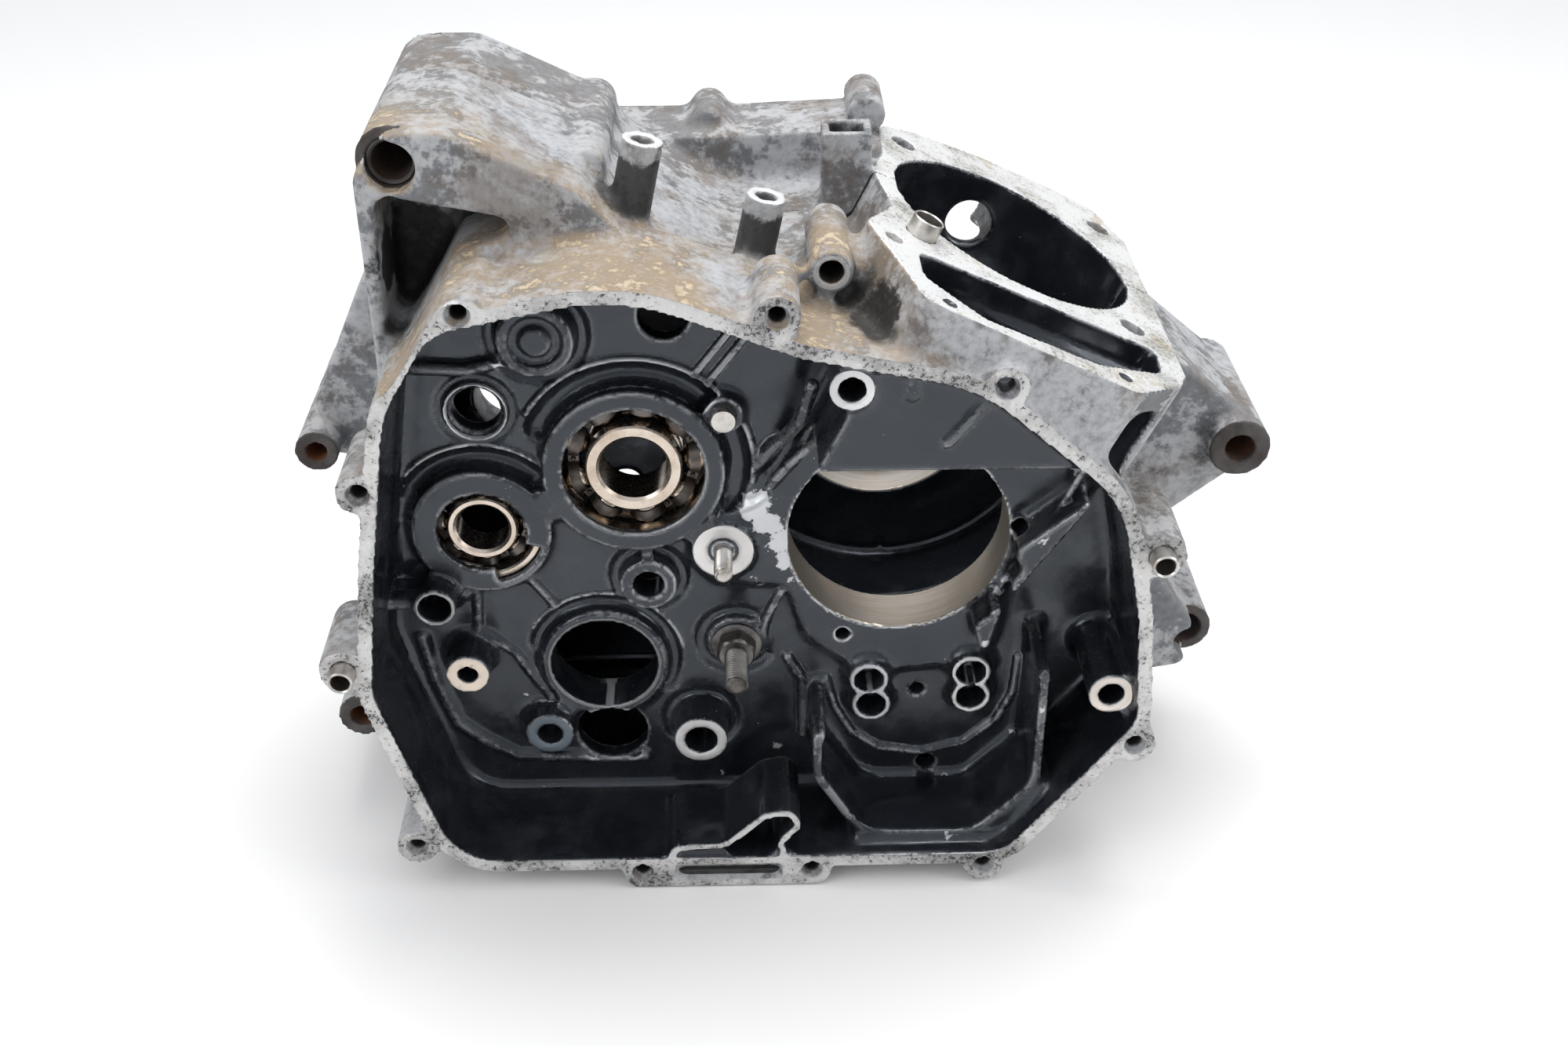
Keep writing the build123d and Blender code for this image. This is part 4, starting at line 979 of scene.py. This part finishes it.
def makeBearing(name, spec):
    pitch = (spec["bore"] + spec["od"]) / 4
    ballRadius = spec["ball"] / 2
    ballBody = spec["body"] + "_ball_set"
    width = spec["width"]
    middle = width / 2
    rings = (("outer", spec["od"], "case"), ("inner", spec["bore"], spec["body"] + "_ring"))
    for kind, across, body in rings:
        bm = bmesh.new()
        profile = raceProfile(spec[kind + "Shoulder"], across / 2, width, pitch, ballRadius, 0.9)
        lathe(bm, profile, spec["axis"], 128)
        meshPiece(f"{name}_{kind}_race", bm, ringMetal, body, [f"{name}_{kind}"])
    bm = bmesh.new()
    for a in turns(spec["balls"]):
        ballAt(bm, spec["axis"], pitch, a, middle, ballRadius, 4)
    meshPiece(name + "_ball_row", bm, ballMetal, ballBody, [name + "_balls"])
    # ribbon cage: two pressed strips that bulge round every ball and are riveted between them
    bm = bmesh.new()
    steps = spec["balls"] * 24
    sheetThick = 0.55
    shell = ballRadius + 0.12
    rim = shell + sheetThick
    rIn, rOut = pitch - ballRadius * 0.36, pitch + ballRadius * 0.36
    for sign in (-1, 1):
        strip = []
        for a in turns(steps):
            gap = (a * spec["balls"] / (2 * math.pi) + 0.5) % 1.0 - 0.5
            arc = gap * 2 * math.pi / spec["balls"] * pitch
            lift = max(math.sqrt(max(shell ** 2 - arc ** 2, 0.0)), 0.02)
            outer = max(math.sqrt(max(rim ** 2 - arc ** 2, 0.0)), sheetThick + 0.02)
            section = [(rIn, lift), (rOut, lift), (rOut, outer), (rIn, outer)]
            strip.append([onRing(bm, spec["axis"], r, -a, middle + sign * y) for r, y in section])
        skin(bm, zip(strip, strip[1:] + strip[:1]))
        for a in turns(spec["balls"], 0.5):
            ballAt(bm, spec["axis"], pitch, a, middle + sign * (sheetThick + 0.1), ballRadius * 0.17, 2)
    meshPiece(name + "_ribbon_cage", bm, cageMetal, ballBody, [name + "_cage"], 40)


makeBearing("main_bearing", mainBearing)
makeBearing("output_bearing", outputBearing)
tell("bearings made")


def threadedRod(bm, x0, z0, diameter, tip, end, pitch, threadTo, segments=28):
    # a rod along Y, threaded from its tip as far as threadTo, with a rounded point
    radius = diameter / 2
    rows = []
    y = tip
    while y < end:
        rows.append(y)
        y += pitch / 7 if y < threadTo else 1.5
    rows.append(end)
    grid = []
    for y in rows:
        ring = []
        for i, a in enumerate(turns(segments)):
            turn = (y / pitch - i / segments) % 1.0
            depth = 0.55 * pitch * (1 - abs(2 * turn - 1)) if y < threadTo else 0.0
            point = min(1.0, math.sqrt(max((y - tip) / 1.4, 0.0)) * 0.45 + 0.55)
            ring.append(onRing(bm, (x0, z0), (radius - depth) * point, a, y))
        grid.append(ring)
    skin(bm, zip(grid, grid[1:]))
    bm.faces.new(grid[0])
    bm.faces.new(grid[-1])


def hexagon(bm, x0, z0, flats, near, far, chamfer, turn=0.0, hole=0.0):
    # a hexagon along Y whose near face is chamfered round, as on a nut or bolt head
    radius = flats / math.sqrt(3)
    segments = 48
    layers = []
    cones = ((near, flats / 2 * 0.93), (near + chamfer, flats / 2 * 1.06),
             (near + 2.2 * chamfer, radius * 1.01), (far, radius * 1.01))
    for y, cone in cones:
        ring = []
        for a in turns(segments):
            side = (a - turn) % (math.pi / 3) - math.pi / 6
            ring.append(onRing(bm, (x0, z0), min(flats / 2 / math.cos(side), cone), a, y))
        layers.append(ring)
    if hole:
        inner = [[onRing(bm, (x0, z0), hole, a, y) for a in turns(segments)] for y in (near, far)]
        layers = [inner[0]] + layers + [inner[1], inner[0]]
    skin(bm, zip(layers, layers[1:]))
    if not hole:
        bm.faces.new(layers[0])
        bm.faces.new(layers[-1])


studs = {  # x, z, diameter, tip, end, pitch, end of the thread
    "idle_gear_stud": (-56.9, -3.1, 6.0, -17.5, 9.0, 1.0, -5.0),
    "stopper_stud": (-53.2, -42.0, 8.0, -24.0, 9.0, 1.25, -8.0),
}
for name, metal, finish in (("idle_gear_stud", platedMetal, "plated_steel"),
                            ("stopper_stud", darkMetal, "dark_steel")):
    bm = bmesh.new()
    threadedRod(bm, *studs[name])
    meshPiece(name + "_threaded", bm, metal, "case", [name], 50)

nut = {"height": 7.0, "flats": 12.0, "flange": 8.5, "thick": 1.5, "chamfer": 0.8, "turn": 0.3}
x, z, hole = *studs["stopper_stud"][:2], studs["stopper_stud"][2] / 2 + 0.02
bm = bmesh.new()
hexagon(bm, x, z, nut["flats"], -nut["height"], 0.1 - nut["thick"], nut["chamfer"], nut["turn"], hole)
lathe(bm, [(hole, -nut["thick"]), (nut["flange"] - 0.7, -nut["thick"]), (nut["flange"], 0.4 - nut["thick"]),
           (nut["flange"], 0.0), (hole, 0.0)], (x, z), 64)
meshPiece("stopper_nut_flanged", bm, darkMetal, "case", ["stopper_nut"], 30)

innerBolt = {"x": -56.0, "z": 45.7, "flats": 8.0, "top": -4.5, "seat": -1.0, "chamfer": 0.6, "turn": 0.2}
bm = bmesh.new()
hexagon(bm, innerBolt["x"], innerBolt["z"], innerBolt["flats"], innerBolt["top"], innerBolt["seat"],
        innerBolt["chamfer"], innerBolt["turn"])
meshPiece("inner_bolt_head", bm, platedMetal, "case", ["inner_case_bolt"], 30)


def tubePiece(bm, x0, z0, od, bore, near, far, chamfer):
    # a plain sleeve along Y with its four edges broken
    inside, outside = bore / 2, od / 2
    lathe(bm, [(inside, near + chamfer), (inside + chamfer, near), (outside - chamfer, near),
               (outside, near + chamfer), (outside, far - chamfer), (outside - chamfer, far),
               (inside + chamfer, far), (inside, far - chamfer)], (x0, z0), 64)


sleeves = {  # outside, bore, near end, far end, broken edge
    "cover": (8.0, 6.0, -42.0, -28.0, 0.4),
    "rear": (15.2, 12.0, 6.0, 92.0, 0.8),
    "deck": (10.0, 8.6, -5.5, 8.0, 0.35),
}
deckDowelPlace = (-37.4, -37.9)
bm = bmesh.new()
for x, z in coverDowels:
    tubePiece(bm, x, z, *sleeves["cover"])
meshPiece("cover_dowel_sleeves", bm, platedMetal, "case", ["cover_dowels"])
bm = bmesh.new()
tubePiece(bm, upperLug["x"], upperLug["z"], *sleeves["rear"])
meshPiece("rear_upper_sleeve", bm, lugMetal, "case", ["rear_upper_bush"])
nodes["case_dowels"].data.materials.clear()
nodes["case_dowels"].data.materials.append(platedMetal)


def alongDeck(s, t):
    # turns a piece made along Y so that its +Y points down into the deck, at a place on the deck
    right = Vector((math.cos(deckLean), 0, -math.sin(deckLean)))
    down = Vector((-math.sin(deckLean), 0, -math.cos(deckLean)))
    turn = Matrix((right, down, right.cross(down))).transposed().to_4x4()
    spot = right * s * mm - down * deckHeight * mm + Vector((0, (partingY + t) * mm, 0))
    return Matrix.Translation(spot) @ turn


bm = bmesh.new()
tubePiece(bm, 0.0, 0.0, *sleeves["deck"])
bmesh.ops.transform(bm, matrix=alongDeck(*deckDowelPlace), verts=bm.verts)
meshPiece("cylinder_dowel_sleeve", bm, platedMetal, "case", ["cylinder_dowel"])

caseBolts = {
    "places": [(-97.0, 115.5), (-166.0, 62.0), (-172.0, -28.0), (-151.0, -107.0), (-60.0, -111.0),
               (40.0, -108.0), (82.0, -32.0)],
    "diameter": 6.0, "flats": 8.0, "tip": 38.0, "seat": 94.0, "top": 99.0, "thread": 46.0,
}
bm = bmesh.new()
for x, z in caseBolts["places"]:
    threadedRod(bm, x, z, caseBolts["diameter"], caseBolts["tip"], caseBolts["seat"], 1.0,
                caseBolts["thread"])
    hexagon(bm, x, z, caseBolts["flats"], caseBolts["top"], caseBolts["seat"], -0.6, 0.3)
meshPiece("case_bolt_row", bm, platedMetal, "case", ["case_bolts"], 40)

drain = {"x": -20.0, "y": 72.0, "diameter": 12.0, "flats": 14.0,
         "under": 117.3, "seat": 112.3, "tip": 102.3}   # depths below the crank axis
bm = bmesh.new()
threadedRod(bm, 0.0, 0.0, drain["diameter"], drain["tip"], drain["seat"], 1.5, drain["seat"], 40)
hexagon(bm, 0.0, 0.0, drain["flats"], drain["under"], drain["seat"], -0.8)
upright = Matrix.Rotation(math.radians(-90), 4, "X")
upright = Matrix.Translation((drain["x"] * mm, drain["y"] * mm, 0)) @ upright
bmesh.ops.transform(bm, matrix=upright, verts=bm.verts)
meshPiece("drain_plug_threaded", bm, platedMetal, "case", ["drain_plug"], 40)

strainer = {"x": (-75.0, -38.5), "y": (-34.0, -6.0), "z": (-114.8, -111.8),
            "frame": 1.8, "pitch": 1.7, "wire": 0.32}


def addBar(bm, low, high, bevel):
    # a bar between two corners, with its edges broken
    made = bmesh.ops.create_cube(bm, size=1.0)
    size = (Vector(high) - Vector(low)) * mm
    centre = (Vector(high) + Vector(low)) * mm / 2
    bmesh.ops.scale(bm, vec=size, verts=made["verts"])
    bmesh.ops.translate(bm, vec=centre, verts=made["verts"])
    edges = list({e for v in made["verts"] for e in v.link_edges})
    bmesh.ops.bevel(bm, geom=edges, offset=bevel * mm, segments=2, affect="EDGES")


def makeStrainer(spec):
    (x0, x1), (y0, y1), (z0, z1) = spec["x"], spec["y"], spec["z"]
    side = spec["frame"]
    wire = spec["wire"]
    middle = (z0 + z1) / 2
    bm = bmesh.new()
    addBar(bm, (x0, y0, z0), (x1, y0 + side, z1), 0.3)
    addBar(bm, (x0, y1 - side, z0), (x1, y1, z1), 0.3)
    addBar(bm, (x0, y0 + side - 0.3, z0), (x0 + side, y1 - side + 0.3, z1), 0.3)
    addBar(bm, (x1 - side, y0 + side - 0.3, z0), (x1, y1 - side + 0.3, z1), 0.3)
    x = x0 + side + spec["pitch"] / 2
    while x < x1 - side:
        addBar(bm, (x - wire, y0 + 0.5, middle), (x + wire, y1 - 0.5, middle + 2 * wire), 0.12)
        x += spec["pitch"]
    y = y0 + side + spec["pitch"] / 2
    while y < y1 - side:
        addBar(bm, (x0 + 0.5, y - wire, middle - 2 * wire), (x1 - 0.5, y + wire, middle + 0.1), 0.12)
        y += spec["pitch"]
    meshPiece("oil_strainer_mesh", bm, screenCloth, "case", ["oil_strainer_screen"], 40)


makeStrainer(strainer)
tell("small pieces made")

# Studio

studio = {
    "floorRadius": 4.0,
    "eye": (-0.050, -0.490, 0.318), "pitch": 32.5, "yaw": 1.5, "lens": 36 * 2300 / 1999,
    "floor": (0.90, 0.885, 0.865), "floorShade": (0.8, 0.8, 0.8), "air": 0.95,
    "skyLow": (0.42, 0.43, 0.45), "skyHigh": (0.95, 0.98, 1.03),
}


def makeStudio(look):
    pitch, yaw = math.radians(look["pitch"]), math.radians(look["yaw"])
    aim = Vector((math.sin(yaw) * math.cos(pitch), math.cos(yaw) * math.cos(pitch), -math.sin(pitch)))
    lens = bpy.data.cameras.new("camera")
    lens.lens = look["lens"]
    lens.sensor_width = 36.0
    lens.clip_start = 0.01
    camera = show(bpy.data.objects.new("camera", lens))
    camera.location = look["eye"]
    camera.rotation_euler = aim.to_track_quat("-Z", "Y").to_euler()
    bpy.context.scene.camera = camera
    low = cadBox[0][2]
    bm = bmesh.new()
    bmesh.ops.create_circle(bm, cap_ends=True, segments=96, radius=look["floorRadius"])
    mesh = bpy.data.meshes.new("studio_floor")
    bm.to_mesh(mesh)
    bm.free()
    floor = show(bpy.data.objects.new("studio_floor", mesh))
    floor.location = (0, 0, low - 0.0002)
    s = Sheet("floor_paper")
    fine = s.noise(3.0, 2.0)
    s.set(Base_Color=s.mix(fine * 0.04, look["floor"], look["floorShade"]), Roughness=0.9)
    mesh.materials.append(s.material)
    world = bpy.data.worlds.new("studio_air")
    bpy.context.scene.world = world
    world.use_nodes = True
    tree = world.node_tree
    tree.nodes.clear()
    words = ("LightPath", "TexCoord", "SeparateXYZ", "ValToRGB", "Background", "Background", "MixShader",
             "OutputWorld")
    path, place, split, ramp, sky, white, choose, end = [tree.nodes.new("ShaderNode" + w) for w in words]
    for stop, spot, colour in zip(ramp.color_ramp.elements, (0.0, 0.9), (look["skyLow"], look["skyHigh"])):
        stop.position = spot
        stop.color = (*colour, 1.0)
    sky.inputs["Strength"].default_value = look["air"]
    white.inputs["Color"].default_value = (1.0, 1.0, 1.0, 1.0)
    # the camera sees plain white, the light comes from the ramp
    for out, into in ((place.outputs["Generated"], split.inputs[0]), (split.outputs["Z"], ramp.inputs[0]),
                      (ramp.outputs[0], sky.inputs["Color"]),
                      (path.outputs["Is Camera Ray"], choose.inputs[0]),
                      (sky.outputs[0], choose.inputs[1]), (white.outputs[0], choose.inputs[2]),
                      (choose.outputs[0], end.inputs["Surface"])):
        tree.links.new(out, into)


lamps = {  # place, aim, size, power
    "overhead": ((0.05, 0.25, 1.10), (-0.03, 0.0, 0.0), (0.9, 0.5), 9.0),
    "left_fill": ((-1.0, -0.7, 0.7), (-0.03, 0.0, 0.0), (0.6, 0.8), 4.0),
    "right_fill": ((1.0, -0.4, 0.6), (-0.03, 0.0, 0.0), (0.5, 0.6), 3.0),
}


def makeLamps(table):
    for name, (place, aim, size, power) in table.items():
        data = bpy.data.lights.new(name, "AREA")
        data.shape = "RECTANGLE"
        data.size, data.size_y = size
        data.energy = power
        lamp = show(bpy.data.objects.new(name, data))
        lamp.location = place
        lamp.rotation_euler = (Vector(aim) - Vector(place)).to_track_quat("-Z", "Y").to_euler()


makeStudio(studio)
makeLamps(lamps)
bpy.context.scene.view_settings.view_transform = "Standard"
tell("studio made")
